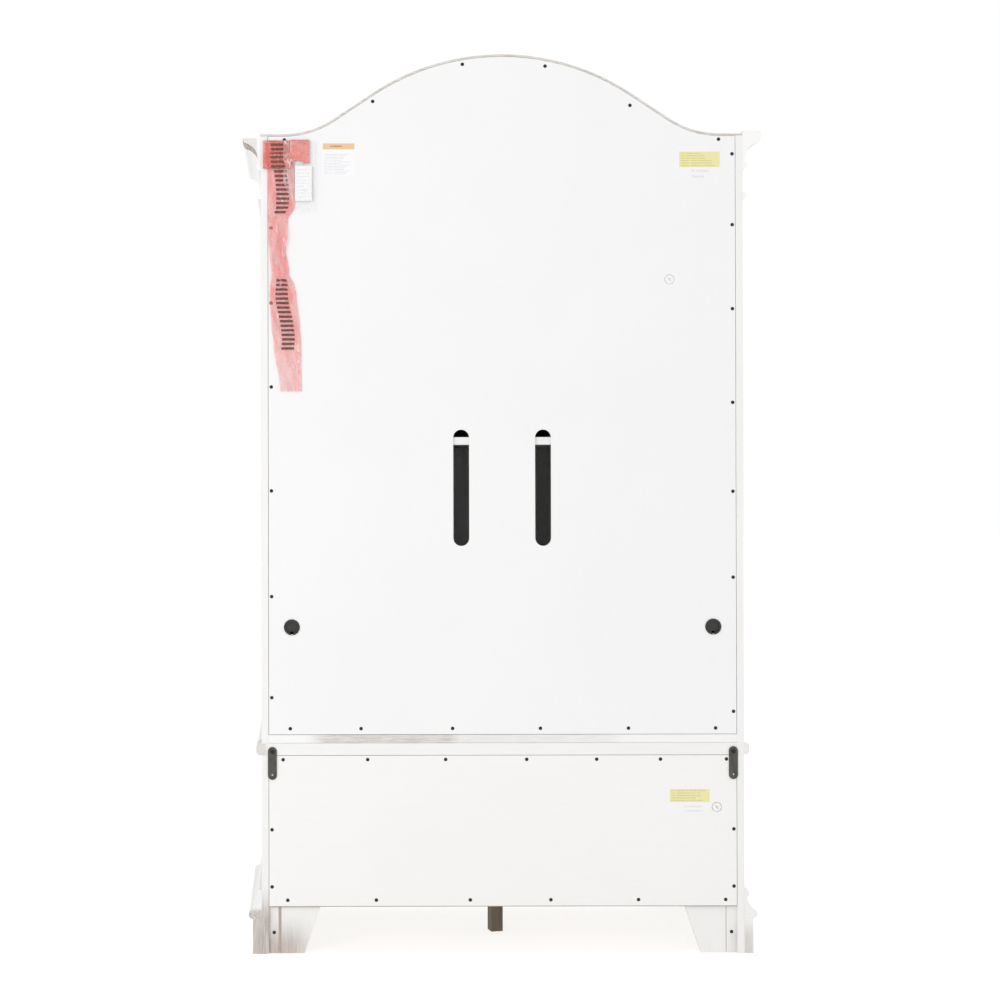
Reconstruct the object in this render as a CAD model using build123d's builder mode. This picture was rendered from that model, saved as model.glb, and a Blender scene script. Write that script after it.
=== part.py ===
from build123d import *
import os
from math import cos, radians, sin

os.makedirs("parts", exist_ok=True)

# ---------------------------------------------------------------------------
# Two-part armoire: a drawer base on bracket feet and a door cabinet with an
# arched top. The front faces -Y and the back panels face +Y. Z is up from the
# floor. The origin is at the bottom centre of the whole piece.
# "left" is the side at -X and "right" is the side at +X, as seen from the front.
# ---------------------------------------------------------------------------

# Overall sizes
cabinet_width = 1090.0
carcass_depth = 480.0
shoulder_height = 1852.0

# Board stock
side_thickness = 16.0
frame_thickness = 20.0
panel_thickness = 6.0
shelf_thickness = 17.0
roof_thickness = 5.0
rail_stock = 20.0

# Heights in the base
base_panel_bottom = 106.0
base_bottom_low = 112.0
base_bottom_thickness = 18.0
base_top_thickness = 27.0
base_height = 475.0
base_rail_low = 80.0
drawer_opening_low = 170.0
drawer_opening_high = 426.0

# Heights in the upper cabinet
upper_bottom_thickness = 19.0
upper_bottom_rail = 45.0
tv_shelf_low = 1149.0
loose_shelf_low = 820.0
rod_height = 1660.0
rear_rail_height = 28.0
rib_width = 45.0

# The arched top: a crown arc, straight slopes and reversed shoulder arcs
arch_rise = 180.0
crown_radius = cabinet_width * 53 / 109
shoulder_radius = cabinet_width * 20.5 / 109
arch_slope = 33.5
door_arch_drop = 175.0

# Mouldings
crown_height = 88.0
crown_projection = 41.0
crown_lip = 6.0
neck_drop = 139.5
neck_height = 15.0
neck_projection = 9.0
base_mould_height = 65.0
base_mould_low = 79.0
base_mould_projection = 29.5

# Plinth and feet
plinth_thickness = 20.0
plinth_opening = 50.0
front_foot_length = 140.0
rear_foot_length = 100.0
bracket_top_width = 95.0
bracket_foot_width = 57.0
bracket_thickness = 16.0
centre_leg_size = 28.5
centre_leg_x = -4.0
centre_leg_from_rear = 220.0
centre_leg_turn = 12.0

# Posts and front frames
post_width = 24.0
upper_stile = 55.0
base_stile = 60.0
base_mid_stile = 36.0
divider_thickness = 18.0
top_overhang = 12.0
top_round = 9.0

# Doors
door_gap = 2.0
door_stile = 75.0
door_bottom_rail = 95.0
door_mid_rail = 80.0
door_mid_low = 960.0
tongue_depth = 8.0
tongue_thickness = 7.0
tongue_back = 4.0
field_margin = 4.0
field_height = 7.0
field_bevel = 28.0
panel_play = 0.3

# Hinges, three to a door
hinge_heights = (620.0, 1100.0, 1560.0)
hinge_height = 64.0
hinge_leaf_width = 19.0
hinge_leaf_thickness = 2.0
barrel_radius = 4.5
barrel_stand_off = 5.0
pin_radius = 2.2
pin_clearance = 0.05
knuckle_count = 5
knuckle_play = 0.3
leaf_play = 0.7

# Drawers and their ball slides
drawer_gap = 2.0
slide_length = carcass_depth - 80.0
slide_height = 45.0
slide_width = 12.7
slide_metal = 1.2
slide_centre = 258.0
slide_setback = 3.0
bearer_height = 60.0
box_depth = carcass_depth - 60.0
box_board = 12.0
box_low = 190.0
box_high = 400.0
box_bottom_low = 200.0
box_bottom_thickness = 5.0
drawer_bevel = 24.0
drawer_bevel_depth = 5.0

# Knobs
knob_radius = 16.0
knob_projection = 28.0
door_knob_height = 1060.0
drawer_knob_spread = 220.0

# Back panel fittings
slot_width = 36.0
slot_length = 263.0
slot_spacing = 185.0
slot_low = 920.0
cord_hole_spacing = 952.0
cord_hole_height = 737.0
grommet_flange = 18.0
grommet_hole = 16.0
grommet_bore = 13.5
grommet_proud = 1.5
grommet_cap = 2.0
grommet_notch = 4.0
screw_head = 4.3
screw_shank = 1.6
screw_length = 22.0
screw_inset = 7.5
row_screw_lift = 14.0
top_row_drop = 10.0
post_screw_height = 47.0
shoulder_screw = (38.0, 13.0)

# Tie straps between the two cabinets
strap_length = 74.0
strap_width = 20.0
strap_thickness = 2.0
strap_hole = 2.45
strap_screw = 2.4
strap_end = 11.0
strap_inset = 24.5
strap_pivot_below = 19.0
strap_play = 0.3

# Shelf pins, garment rod and door catches
pin_hole_radius = 2.6
peg_radius = 2.5
peg_depth = 9.0
peg_reach = 10.0
peg_support_radius = 3.5
pin_row_inset = 60.0
pin_pitch = 64.0
pin_rows = 3
rod_radius = 12.5
rod_wall = 1.5
socket_radius = 20.0
socket_depth = 12.0
socket_play = 0.3
catch_size = (36.0, 28.0, 12.0)
catch_offset = 30.0
strike_thickness = 1.5
catch_play = 0.3

# Spare hardware in a flat film bag stapled to the back
bag_depth = 12.0
bag_stand_off = 0.5
bag_top = 1838.0
bag_outer_x = 539.5
# Outline of the bag: distance inward from its outer edge and down from its top
bag_outline = [
    (0, 0),
    (105, 0),
    (105, 40),
    (117, 59),
    (117, 163),
    (72, 163),
    (56, 180),
    (52, 250),
    (58, 303),
    (74, 326),
    (86, 456),
    (87, 569),
    (38, 569),
    (18, 420),
    (14, 346),
    (19, 303),
    (11, 250),
    (11, 66),
    (0, 64),
]

# Clearances
fit = 0.5
loose_play = 1.5
panel_gap = 1.0
roof_gap = 0.5
seam_gap = 1.0
seam_bevel = 1.2
foot_gap = 1.0

# ---------------------------------------------------------------------------
# Places worked out from the sizes above
# ---------------------------------------------------------------------------
half_width = cabinet_width / 2
overall_depth = carcass_depth + crown_projection + bag_depth
rear = overall_depth / 2 - bag_depth
front = rear - carcass_depth
frame_back = front + frame_thickness
panel_front = rear - panel_thickness
side_inner = half_width - side_thickness
post_inner = side_inner - post_width
post_front = panel_front - post_width
base_top_low = base_height - base_top_thickness
base_bottom_high = base_bottom_low + base_bottom_thickness
upper_floor = base_height + upper_bottom_thickness
roof_under = shoulder_height - roof_thickness
door_bottom = base_height + upper_bottom_rail
upper_opening = half_width - upper_stile
base_opening = half_width - base_stile
slope = radians(arch_slope)
arch_centre = shoulder_height + arch_rise - crown_radius
straight_length = (
    arch_rise - (crown_radius + shoulder_radius) * (1 - cos(slope))
) / sin(slope)
arch_half_span = (crown_radius + shoulder_radius) * sin(slope) + straight_length * cos(slope)
hinge_x = upper_opening - door_gap / 2
hinge_y = front - barrel_stand_off
corner = {
    "left": Plane(origin=(-half_width, front, 0), z_dir=(-1, 1, 0)),
    "right": Plane(origin=(half_width, front, 0), z_dir=(1, 1, 0)),
}
SIDES = {"left": -1, "right": 1}


# ---------------------------------------------------------------------------
# Helpers
# ---------------------------------------------------------------------------
def facing(y):
    """Plane that faces the front at depth y, with X across and Z up."""
    return Plane.XZ.offset(-y)


def block(x, y, z, mode=Mode.ADD):
    """Box between two values on each axis."""
    low = (min(x), min(y), min(z))
    size = (abs(x[1] - x[0]), abs(y[1] - y[0]), abs(z[1] - z[0]))
    with Locations(low):
        Box(*size, align=(Align.MIN, Align.MIN, Align.MIN), mode=mode)


def save(builder, name):
    """Label a finished piece and write it to its own file."""
    builder.part.label = name
    export_step(builder.part, f"parts/{name}.step")


def arch_lines(drop, reach):
    """Arch outline moved in by drop, from -reach to +reach, in the active line builder."""
    crown = crown_radius - drop
    shoulder = shoulder_radius + drop
    level = shoulder_height - drop
    shoulder_centre = shoulder_height + shoulder_radius
    low_x = arch_half_span - shoulder * sin(slope)
    low_z = shoulder_centre - shoulder * cos(slope)
    high_x = crown * sin(slope)
    high_z = arch_centre + crown * cos(slope)
    Line((-reach, level), (-arch_half_span, level))
    CenterArc((-arch_half_span, shoulder_centre), shoulder, 270, arch_slope)
    Line((-low_x, low_z), (-high_x, high_z))
    CenterArc((0, arch_centre), crown, 90 + arch_slope, -2 * arch_slope)
    Line((high_x, high_z), (low_x, low_z))
    CenterArc((arch_half_span, shoulder_centre), shoulder, 270 - arch_slope, arch_slope)
    Line((arch_half_span, level), (reach, level))


def under_arch(y, drop, x, low):
    """Face at depth y below the arch moved in by drop, between two uprights, down to low."""
    reach = half_width + crown_projection
    level = shoulder_height - drop
    top = shoulder_height + arch_rise
    with BuildSketch(facing(y)) as face:
        with BuildLine():
            arch_lines(drop, reach)
            Polyline((reach, level), (reach, 0), (-reach, 0), (-reach, level))
        make_face()
        with Locations(((x[0] + x[1]) / 2, (low + top) / 2)):
            Rectangle(abs(x[1] - x[0]), top - low, mode=Mode.INTERSECT)
    return face.sketch


def profile_plane(side, depth, height):
    """Plane across a moulding: its X points away from the cabinet and its Y points up."""
    if side == "front":
        reach = half_width + crown_projection
        return Plane(origin=(-reach, depth, height), x_dir=(0, -1, 0), z_dir=(-1, 0, 0))
    sign = SIDES[side]
    origin = (sign * half_width, depth, height)
    return Plane(origin=origin, x_dir=(sign, 0, 0), z_dir=(0, -sign, 0))


def crown_profile(plane):
    """Section of the crown: a bead, a deep cove, a small bevel and a flat fillet."""
    bead = 9.5
    quirk = 5.0
    cove = 40.0
    cove_out = crown_projection - 5.0
    cove_low = 24.0
    centre_out = quirk + cove
    cove_high = cove_low + (cove**2 - (centre_out - cove_out) ** 2) ** 0.5
    with BuildSketch(plane) as face:
        with BuildLine():
            Line((0, 0), (3, 0))
            ThreePointArc((3, 0), (bead, 10), (quirk, 20))
            Line((quirk, 20), (quirk, cove_low))
            RadiusArc((quirk, cove_low), (cove_out, cove_high), cove)
            Polyline(
                (cove_out, cove_high),
                (crown_projection, cove_high + 7),
                (crown_projection, crown_height),
                (0, crown_height),
                (0, 0),
            )
        make_face()
    return face.sketch


def neck_profile(plane):
    """Section of the neck bead: a half round on a narrow flat."""
    flat = 2.0
    with BuildSketch(plane) as face:
        with BuildLine():
            Polyline((0, neck_height), (0, 0), (flat, 0))
            ThreePointArc((flat, 0), (neck_projection, neck_height / 2), (flat, neck_height))
            Line((flat, neck_height), (0, neck_height))
        make_face()
    return face.sketch


def base_profile(plane):
    """Section of the base moulding: a heavy bead, a falling cove and a small bead."""
    heavy = 18.0
    shelf = 22.0
    small = 18.0
    small_out = 11.0
    neck = 6.0
    cove_high = base_mould_height - small
    with BuildSketch(plane) as face:
        with BuildLine():
            Line((0, 0), (shelf, 0))
            ThreePointArc((shelf, 0), (base_mould_projection, heavy / 2), (shelf, heavy))
            RadiusArc((shelf, heavy), (neck, cove_high), 60)
            ThreePointArc(
                (neck, cove_high), (small_out, cove_high + small / 2), (neck, base_mould_height)
            )
            Polyline((neck, base_mould_height), (0, base_mould_height), (0, 0))
        make_face()
    return face.sketch


def foot_cutout(start, end):
    """Opening between two bracket feet, cut from the floor up in the active sketch."""
    curve = 30.0
    slant = 10.0
    with BuildLine() as outline:
        Line((start, 0), (start + slant, plinth_opening - curve))
        RadiusArc(
            (start + slant, plinth_opening - curve), (start + slant + curve, plinth_opening), curve
        )
        Line((start + slant + curve, plinth_opening), (end - slant - curve, plinth_opening))
        RadiusArc(
            (end - slant - curve, plinth_opening), (end - slant, plinth_opening - curve), curve
        )
        Polyline((end - slant, plinth_opening - curve), (end, 0), (start, 0))
    make_face(outline.line.edges(), mode=Mode.SUBTRACT)


def slide_channel(wall, way, shape, y, z_half):
    """One rolled channel of a ball slide: a web and two flanges, measured out from a wall."""
    web, flange = shape
    block((wall + way * web[0], wall + way * web[1]), y, (slide_centre - z_half, slide_centre + z_half))
    for sign in (-1, 1):
        edge = slide_centre + sign * z_half
        block(
            (wall + way * flange[0], wall + way * flange[1]), y, (edge - sign * slide_metal, edge)
        )


# ---------------------------------------------------------------------------
# Screws that hold the back panels, and the pivots of the tie straps
# ---------------------------------------------------------------------------
screw_column = side_inner - screw_inset
upper_row = upper_floor + row_screw_lift
lower_row = base_bottom_low + base_bottom_thickness / 2
top_row = base_top_low - top_row_drop
upper_rise = shoulder_height - upper_floor
base_rise = base_top_low - base_panel_bottom

# Screws were set by hand, so each row has its own spacing, as shares of the panel
upper_row_shares = (0.907, 0.605, 0.214, -0.161, -0.537, -0.909)
top_row_shares = (0.938, 0.577, 0.244, -0.102, -0.401, -0.673, -0.955)
lower_row_shares = (0.919, 0.541, 0.140, -0.204, -0.578, -0.950)
upper_column_shares = {
    -1: (0.038, 0.261, 0.404, 0.552, 0.708, 0.848, 0.966),
    1: (0.062, 0.230, 0.406, 0.579, 0.719, 0.844, 0.962),
}
base_column_shares = (0.132, 0.509)
# Screws below the crown arc: share of its radius across, and drop below its edge
arch_screws = ((0.166, 15.0), (-0.187, 17.5), (0.549, 19.0), (-0.549, 29.0))

upper_screw_places = [(share * side_inner, upper_row) for share in upper_row_shares]
for sign, shares in upper_column_shares.items():
    upper_screw_places += [(sign * screw_column, upper_floor + share * upper_rise) for share in shares]
    upper_screw_places += [
        (sign * (side_inner - shoulder_screw[0]), shoulder_height - shoulder_screw[1])
    ]
for share, drop in arch_screws:
    arc_rise = crown_radius * (1 - share**2) ** 0.5
    upper_screw_places += [(share * crown_radius, arch_centre + arc_rise - drop)]
lower_screw_places = [(share * side_inner, top_row) for share in top_row_shares]
lower_screw_places += [(share * side_inner, lower_row) for share in lower_row_shares]
for share in base_column_shares:
    level = base_panel_bottom + share * base_rise
    lower_screw_places += [(sign * screw_column, level) for sign in (-1, 1)]
strap_pivot_x = half_width - strap_inset
strap_pivot_z = base_height - strap_pivot_below


def flat_heads(places, seat):
    """Flat-head screws driven toward the front, their heads level with a face at depth seat."""
    with Locations(*[(x, seat, z) for x, z in places]):
        Cone(
            screw_shank,
            screw_head,
            screw_head - screw_shank,
            rotation=(-90, 0, 0),
            align=(Align.CENTER, Align.CENTER, Align.MAX),
        )
        Cylinder(
            screw_shank,
            screw_length,
            rotation=(-90, 0, 0),
            align=(Align.CENTER, Align.CENTER, Align.MAX),
        )


with BuildPart() as upper_back_screws:
    flat_heads(upper_screw_places, rear)
save(upper_back_screws, "upper_back_screws")

post_screws = [(sign * (side_inner - post_width / 2), post_screw_height) for sign in (-1, 1)]
strap_back = rear + strap_play + strap_thickness
with BuildPart() as lower_back_screws:
    flat_heads(lower_screw_places, rear)
    flat_heads(post_screws, panel_front)
    # Pan-head pivots of the two tie straps
    with Locations(*[(sign * strap_pivot_x, strap_back + strap_play, strap_pivot_z) for sign in (-1, 1)]):
        Cylinder(
            strap_screw,
            screw_length,
            rotation=(-90, 0, 0),
            align=(Align.CENTER, Align.CENTER, Align.MAX),
        )
        Cone(
            2 * strap_screw,
            1.4 * strap_screw,
            strap_screw,
            rotation=(-90, 0, 0),
            align=(Align.CENTER, Align.CENTER, Align.MIN),
        )
save(lower_back_screws, "lower_back_screws")

# ---------------------------------------------------------------------------
# Upper cabinet: case
# ---------------------------------------------------------------------------
pin_heights = [
    loose_shelf_low - peg_support_radius + pin_pitch * row for row in range(-pin_rows, pin_rows + 1)
]
pin_depths = (frame_back + pin_row_inset, post_front - pin_row_inset)
for side, sign in SIDES.items():
    with BuildPart() as upper_side:
        block((sign * side_inner, sign * half_width), (frame_back, rear), (base_height, roof_under))
        with Locations(*[(sign * side_inner, y, z) for y in pin_depths for z in pin_heights]):
            Cylinder(pin_hole_radius, 2 * peg_depth, rotation=(0, 90, 0), mode=Mode.SUBTRACT)
    save(upper_side, f"upper_{side}_side")

with BuildPart() as upper_bottom_board:
    block((-side_inner, side_inner), (frame_back, rear), (base_height, upper_floor))
    low_edges = upper_bottom_board.edges().group_by(Axis.Z)[0]
    chamfer(low_edges.sort_by(Axis.Y)[-1], length=seam_bevel)
save(upper_bottom_board, "upper_bottom_board")

with BuildPart() as rear_corner_posts:
    for sign in (-1, 1):
        for low, high in ((0, base_top_low), (upper_floor, roof_under)):
            block((sign * post_inner, sign * side_inner), (post_front, panel_front), (low, high))
    add(upper_back_screws.part, mode=Mode.SUBTRACT)
    add(lower_back_screws.part, mode=Mode.SUBTRACT)
save(rear_corner_posts, "rear_corner_posts")

with BuildPart() as upper_rear_rails:
    rib_x = (-post_inner, post_inner)
    rib_low = roof_under - rib_width
    extrude(under_arch(panel_front, roof_thickness, rib_x, rib_low), amount=rail_stock)
    extrude(
        under_arch(panel_front, roof_thickness + rib_width, rib_x, 0),
        amount=rail_stock,
        mode=Mode.SUBTRACT,
    )
    block(rib_x, (panel_front - rail_stock, panel_front), (upper_floor, upper_floor + rear_rail_height))
    add(upper_back_screws.part, mode=Mode.SUBTRACT)
save(upper_rear_rails, "upper_rear_rails")

with BuildPart() as upper_back_panel:
    panel_x = (panel_gap - side_inner, side_inner - panel_gap)
    extrude(
        under_arch(rear, roof_thickness + roof_gap, panel_x, upper_floor + seam_gap),
        amount=panel_thickness,
    )
    with BuildSketch(facing(rear)):
        with Locations(*[(sign * slot_spacing / 2, slot_low + slot_length / 2) for sign in (-1, 1)]):
            SlotOverall(slot_length, slot_width, rotation=90)
        with Locations(*[(sign * cord_hole_spacing / 2, cord_hole_height) for sign in (-1, 1)]):
            Circle(grommet_hole)
    extrude(amount=panel_thickness, mode=Mode.SUBTRACT)
    add(upper_back_screws.part, mode=Mode.SUBTRACT)
save(upper_back_panel, "upper_back_panel")

with BuildPart() as roof_panel:
    roof_x = (-half_width, half_width)
    extrude(under_arch(rear, 0, roof_x, roof_under), amount=carcass_depth)
    extrude(
        under_arch(rear, roof_thickness, roof_x, 0), amount=carcass_depth, mode=Mode.SUBTRACT
    )
save(roof_panel, "roof_panel")

shelf_front = frame_back + door_gap
with BuildPart() as tv_shelf:
    shelf_z = (tv_shelf_low, tv_shelf_low + shelf_thickness)
    block((-side_inner, side_inner), (shelf_front, panel_front), shelf_z)
    for sign in (-1, 1):
        block(
            (sign * post_inner, sign * side_inner), (post_front, panel_front), shelf_z, Mode.SUBTRACT
        )
save(tv_shelf, "tv_shelf")

with BuildPart() as adjustable_shelf:
    loose_edge = side_inner - loose_play
    loose_z = (loose_shelf_low, loose_shelf_low + shelf_thickness)
    block((-loose_edge, loose_edge), (shelf_front + shelf_thickness, panel_front - loose_play), loose_z)
    for sign in (-1, 1):
        block(
            (sign * (post_inner - loose_play), sign * side_inner),
            (post_front - loose_play, panel_front),
            loose_z,
            Mode.SUBTRACT,
        )
save(adjustable_shelf, "adjustable_shelf")

peg_places = [
    (sign, y, loose_shelf_low - peg_support_radius) for sign in (-1, 1) for y in pin_depths
]
with BuildPart() as shelf_pins:
    for sign, y, z in peg_places:
        with Locations((sign * (side_inner + peg_depth / 2 - fit / 2), y, z)):
            Cylinder(peg_radius, peg_depth - fit, rotation=(0, 90, 0))
        with Locations((sign * (side_inner - peg_reach / 2), y, z)):
            Cylinder(peg_support_radius, peg_reach, rotation=(0, 90, 0))
save(shelf_pins, "shelf_pins")

rod_y = (frame_back + post_front) / 2
with BuildPart() as garment_rod:
    rod_end = side_inner - socket_play
    with Locations((0, rod_y, rod_height)):
        Cylinder(rod_radius, 2 * rod_end, rotation=(0, 90, 0))
        Cylinder(rod_radius - rod_wall, 2 * rod_end, rotation=(0, 90, 0), mode=Mode.SUBTRACT)
with BuildPart() as rod_sockets:
    for sign in (-1, 1):
        with Locations((sign * (side_inner - socket_depth / 2), rod_y, rod_height)):
            Cylinder(socket_radius, socket_depth, rotation=(0, 90, 0))
            Cylinder(rod_radius + pin_clearance, socket_depth, rotation=(0, 90, 0), mode=Mode.SUBTRACT)
with BuildPart() as garment_rod_set:
    add(garment_rod.part)
    add(rod_sockets.part)
save(garment_rod_set, "garment_rod")

with BuildPart() as upper_front_frame:
    for sign in (-1, 1):
        stile_x = (sign * upper_opening, sign * half_width)
        extrude(under_arch(frame_back, roof_thickness, stile_x, base_height), amount=frame_thickness)
    block((-upper_opening, upper_opening), (front, frame_back), (base_height, door_bottom))
save(upper_front_frame, "upper_front_frame")

with BuildPart() as arched_top_rail:
    rail_x = (-upper_opening, upper_opening)
    rail_low = shoulder_height - door_arch_drop
    extrude(under_arch(frame_back, roof_thickness, rail_x, rail_low), amount=frame_thickness)
    extrude(
        under_arch(frame_back, door_arch_drop, rail_x, 0),
        amount=frame_thickness,
        mode=Mode.SUBTRACT,
    )
save(arched_top_rail, "arched_top_rail")

with BuildPart() as cord_grommets:
    for sign in (-1, 1):
        with Locations((sign * cord_hole_spacing / 2, panel_front, cord_hole_height)):
            Cylinder(
                grommet_hole,
                panel_thickness,
                rotation=(-90, 0, 0),
                align=(Align.CENTER, Align.CENTER, Align.MIN),
            )
        with Locations((sign * cord_hole_spacing / 2, rear, cord_hole_height)):
            Cylinder(
                grommet_flange,
                grommet_proud,
                rotation=(-90, 0, 0),
                align=(Align.CENTER, Align.CENTER, Align.MIN),
            )
            Cylinder(grommet_bore, 3 * panel_thickness, rotation=(-90, 0, 0), mode=Mode.SUBTRACT)
        # Snap-in cap, with a notch at the bottom for a thin lead
        with Locations((sign * cord_hole_spacing / 2, panel_front + grommet_cap, cord_hole_height)):
            Cylinder(
                grommet_bore,
                grommet_cap,
                rotation=(-90, 0, 0),
                align=(Align.CENTER, Align.CENTER, Align.MIN),
            )
        with Locations((sign * cord_hole_spacing / 2, rear, cord_hole_height - grommet_bore)):
            Cylinder(grommet_notch, 3 * panel_thickness, rotation=(-90, 0, 0), mode=Mode.SUBTRACT)
save(cord_grommets, "cord_grommets")

# ---------------------------------------------------------------------------
# Crown and neck bead
# ---------------------------------------------------------------------------
crown_base = shoulder_height + crown_lip - crown_height
moulding_reach = half_width + crown_projection
with BuildPart() as crown_front:
    with BuildLine(facing(front)) as crown_path:
        arch_lines(shoulder_height - crown_base, moulding_reach)
    sweep(crown_profile(profile_plane("front", front, crown_base)), path=crown_path.line)
    split(bisect_by=corner["left"], keep=Keep.BOTTOM)
    split(bisect_by=corner["right"], keep=Keep.BOTTOM)
save(crown_front, "crown_front")

with BuildPart() as crown_returns:
    side_length = carcass_depth + crown_projection
    extrude(crown_profile(profile_plane("right", rear, crown_base)), amount=side_length)
    split(bisect_by=corner["right"], keep=Keep.TOP)
    mirror(about=Plane.YZ)
save(crown_returns, "crown_returns")

neck_base = shoulder_height - neck_drop - neck_height / 2
with BuildPart() as neck_returns:
    extrude(neck_profile(profile_plane("right", rear, neck_base)), amount=side_length)
    split(bisect_by=corner["right"], keep=Keep.TOP)
    mirror(about=Plane.YZ)
with BuildPart() as neck_bead:
    with BuildLine(facing(front)) as neck_path:
        arch_lines(shoulder_height - neck_base, moulding_reach)
    sweep(neck_profile(profile_plane("front", front, neck_base)), path=neck_path.line)
    split(bisect_by=corner["left"], keep=Keep.BOTTOM)
    split(bisect_by=corner["right"], keep=Keep.BOTTOM)
    add(neck_returns.part)
save(neck_bead, "neck_bead")

# ---------------------------------------------------------------------------
# Base: case
# ---------------------------------------------------------------------------
opening_start = front - plinth_thickness + front_foot_length
opening_end = rear - rear_foot_length
hidden = 10.0
for side, sign in SIDES.items():
    with BuildPart() as base_side:
        block((sign * side_inner, sign * half_width), (frame_back, rear), (0, base_top_low))
        block(
            (sign * side_inner, sign * half_width),
            (opening_start, opening_end),
            (0, plinth_opening + hidden),
            Mode.SUBTRACT,
        )
    save(base_side, f"base_{side}_side")

with BuildPart() as base_bottom_board:
    floor_z = (base_bottom_low, base_bottom_high)
    block((-side_inner, side_inner), (frame_back, panel_front), floor_z)
    for sign in (-1, 1):
        block(
            (sign * post_inner, sign * side_inner), (post_front, panel_front), floor_z, Mode.SUBTRACT
        )
    add(lower_back_screws.part, mode=Mode.SUBTRACT)
save(base_bottom_board, "base_bottom_board")

with BuildPart() as base_top_board:
    top_x = half_width + top_overhang
    block((-top_x, top_x), (front - top_overhang, rear), (base_top_low, base_height))
    fillet(base_top_board.edges().filter_by(Axis.Z).group_by(Axis.Y)[0], radius=top_round)
    level_edges = base_top_board.edges().filter_by(Axis.Z, reverse=True)
    rear_edges = base_top_board.faces().sort_by(Axis.Y)[-1].edges()
    fillet([edge for edge in level_edges if edge not in rear_edges], radius=top_round)
    add(lower_back_screws.part, mode=Mode.SUBTRACT)
save(base_top_board, "base_top_board")

with BuildPart() as base_back_panel:
    panel_x = (panel_gap - side_inner, side_inner - panel_gap)
    block(panel_x, (panel_front, rear), (base_panel_bottom, base_top_low - seam_gap))
    add(lower_back_screws.part, mode=Mode.SUBTRACT)
save(base_back_panel, "base_back_panel")

divider_half = divider_thickness / 2
with BuildPart() as drawer_divider:
    block(
        (-divider_half, divider_half),
        (frame_back, panel_front - rail_stock),
        (base_bottom_high, base_top_low),
    )
save(drawer_divider, "drawer_divider")

mid_half = base_mid_stile / 2
with BuildPart() as base_stiles:
    for sign in (-1, 1):
        block((sign * base_opening, sign * half_width), (front, frame_back), (0, base_top_low))
    block((-mid_half, mid_half), (front, frame_back), (drawer_opening_low, drawer_opening_high))
save(base_stiles, "base_stiles")

with BuildPart() as base_rails:
    rail_x = (-base_opening, base_opening)
    block(rail_x, (front, frame_back), (base_rail_low, drawer_opening_low))
    block(rail_x, (front, frame_back), (drawer_opening_high, base_top_low))
    block(
        (-post_inner, post_inner),
        (panel_front - rail_stock, panel_front),
        (base_top_low - 1.5 * rail_stock, base_top_low),
    )
    bearer_z = (slide_centre - bearer_height / 2, slide_centre + bearer_height / 2)
    for sign in (-1, 1):
        block((sign * base_opening, sign * side_inner), (frame_back, post_front), bearer_z)
        block((sign * divider_half, sign * mid_half), (frame_back, post_front), bearer_z)
    add(lower_back_screws.part, mode=Mode.SUBTRACT)
save(base_rails, "base_rails")

# ---------------------------------------------------------------------------
# Base: plinth, feet and moulding
# ---------------------------------------------------------------------------
plinth_reach = half_width + plinth_thickness
with BuildPart() as plinth_front:
    with BuildSketch(facing(front)):
        with Locations((0, base_mould_low / 2)):
            Rectangle(2 * plinth_reach, base_mould_low)
        foot_cutout(front_foot_length - plinth_reach, plinth_reach - front_foot_length)
    extrude(amount=plinth_thickness)
    split(bisect_by=corner["left"], keep=Keep.BOTTOM)
    split(bisect_by=corner["right"], keep=Keep.BOTTOM)
save(plinth_front, "plinth_front")

with BuildPart() as plinth_sides:
    plinth_length = carcass_depth + plinth_thickness
    with BuildSketch(Plane(origin=(half_width, 0, 0), x_dir=(0, 1, 0), z_dir=(1, 0, 0))):
        with Locations((rear - plinth_length / 2, base_mould_low / 2)):
            Rectangle(plinth_length, base_mould_low)
        foot_cutout(opening_start, opening_end)
    extrude(amount=plinth_thickness)
    split(bisect_by=corner["right"], keep=Keep.TOP)
    mirror(about=Plane.YZ)
save(plinth_sides, "plinth_sides")

with BuildPart() as rear_foot_brackets:
    with BuildSketch(facing(panel_front)):
        with BuildLine():
            Polyline(
                (post_inner - foot_gap, 0),
                (post_inner - foot_gap, base_bottom_low),
                (post_inner - bracket_top_width, base_bottom_low),
                (post_inner - bracket_foot_width, 0),
                (post_inner - foot_gap, 0),
            )
        make_face()
    extrude(amount=bracket_thickness)
    mirror(about=Plane.YZ)
save(rear_foot_brackets, "rear_foot_brackets")

with BuildPart() as centre_leg:
    with BuildSketch(Plane.XY):
        with Locations((centre_leg_x, rear - centre_leg_from_rear)):
            Rectangle(centre_leg_size, centre_leg_size, rotation=centre_leg_turn)
    extrude(amount=base_bottom_low)
save(centre_leg, "centre_leg")

with BuildPart() as base_moulding_front:
    extrude(
        base_profile(profile_plane("front", front, base_mould_low)), amount=-2 * moulding_reach
    )
    split(bisect_by=corner["left"], keep=Keep.BOTTOM)
    split(bisect_by=corner["right"], keep=Keep.BOTTOM)
save(base_moulding_front, "base_moulding_front")

with BuildPart() as base_moulding_sides:
    extrude(base_profile(profile_plane("right", rear, base_mould_low)), amount=side_length)
    split(bisect_by=corner["right"], keep=Keep.TOP)
    mirror(about=Plane.YZ)
save(base_moulding_sides, "base_moulding_sides")

# ---------------------------------------------------------------------------
# Tie straps
# ---------------------------------------------------------------------------
for side, sign in SIDES.items():
    with BuildPart() as tie_strap:
        with BuildSketch(facing(rear + strap_play)):
            with Locations((sign * strap_pivot_x, strap_pivot_z + strap_end - strap_length / 2)):
                SlotOverall(strap_length, strap_width, rotation=90)
            with Locations(
                (sign * strap_pivot_x, strap_pivot_z),
                (sign * strap_pivot_x, strap_pivot_z + 2 * strap_end - strap_length),
            ):
                Circle(strap_hole, mode=Mode.SUBTRACT)
        extrude(amount=-strap_thickness)
    save(tie_strap, f"{side}_tie_strap")


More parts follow.
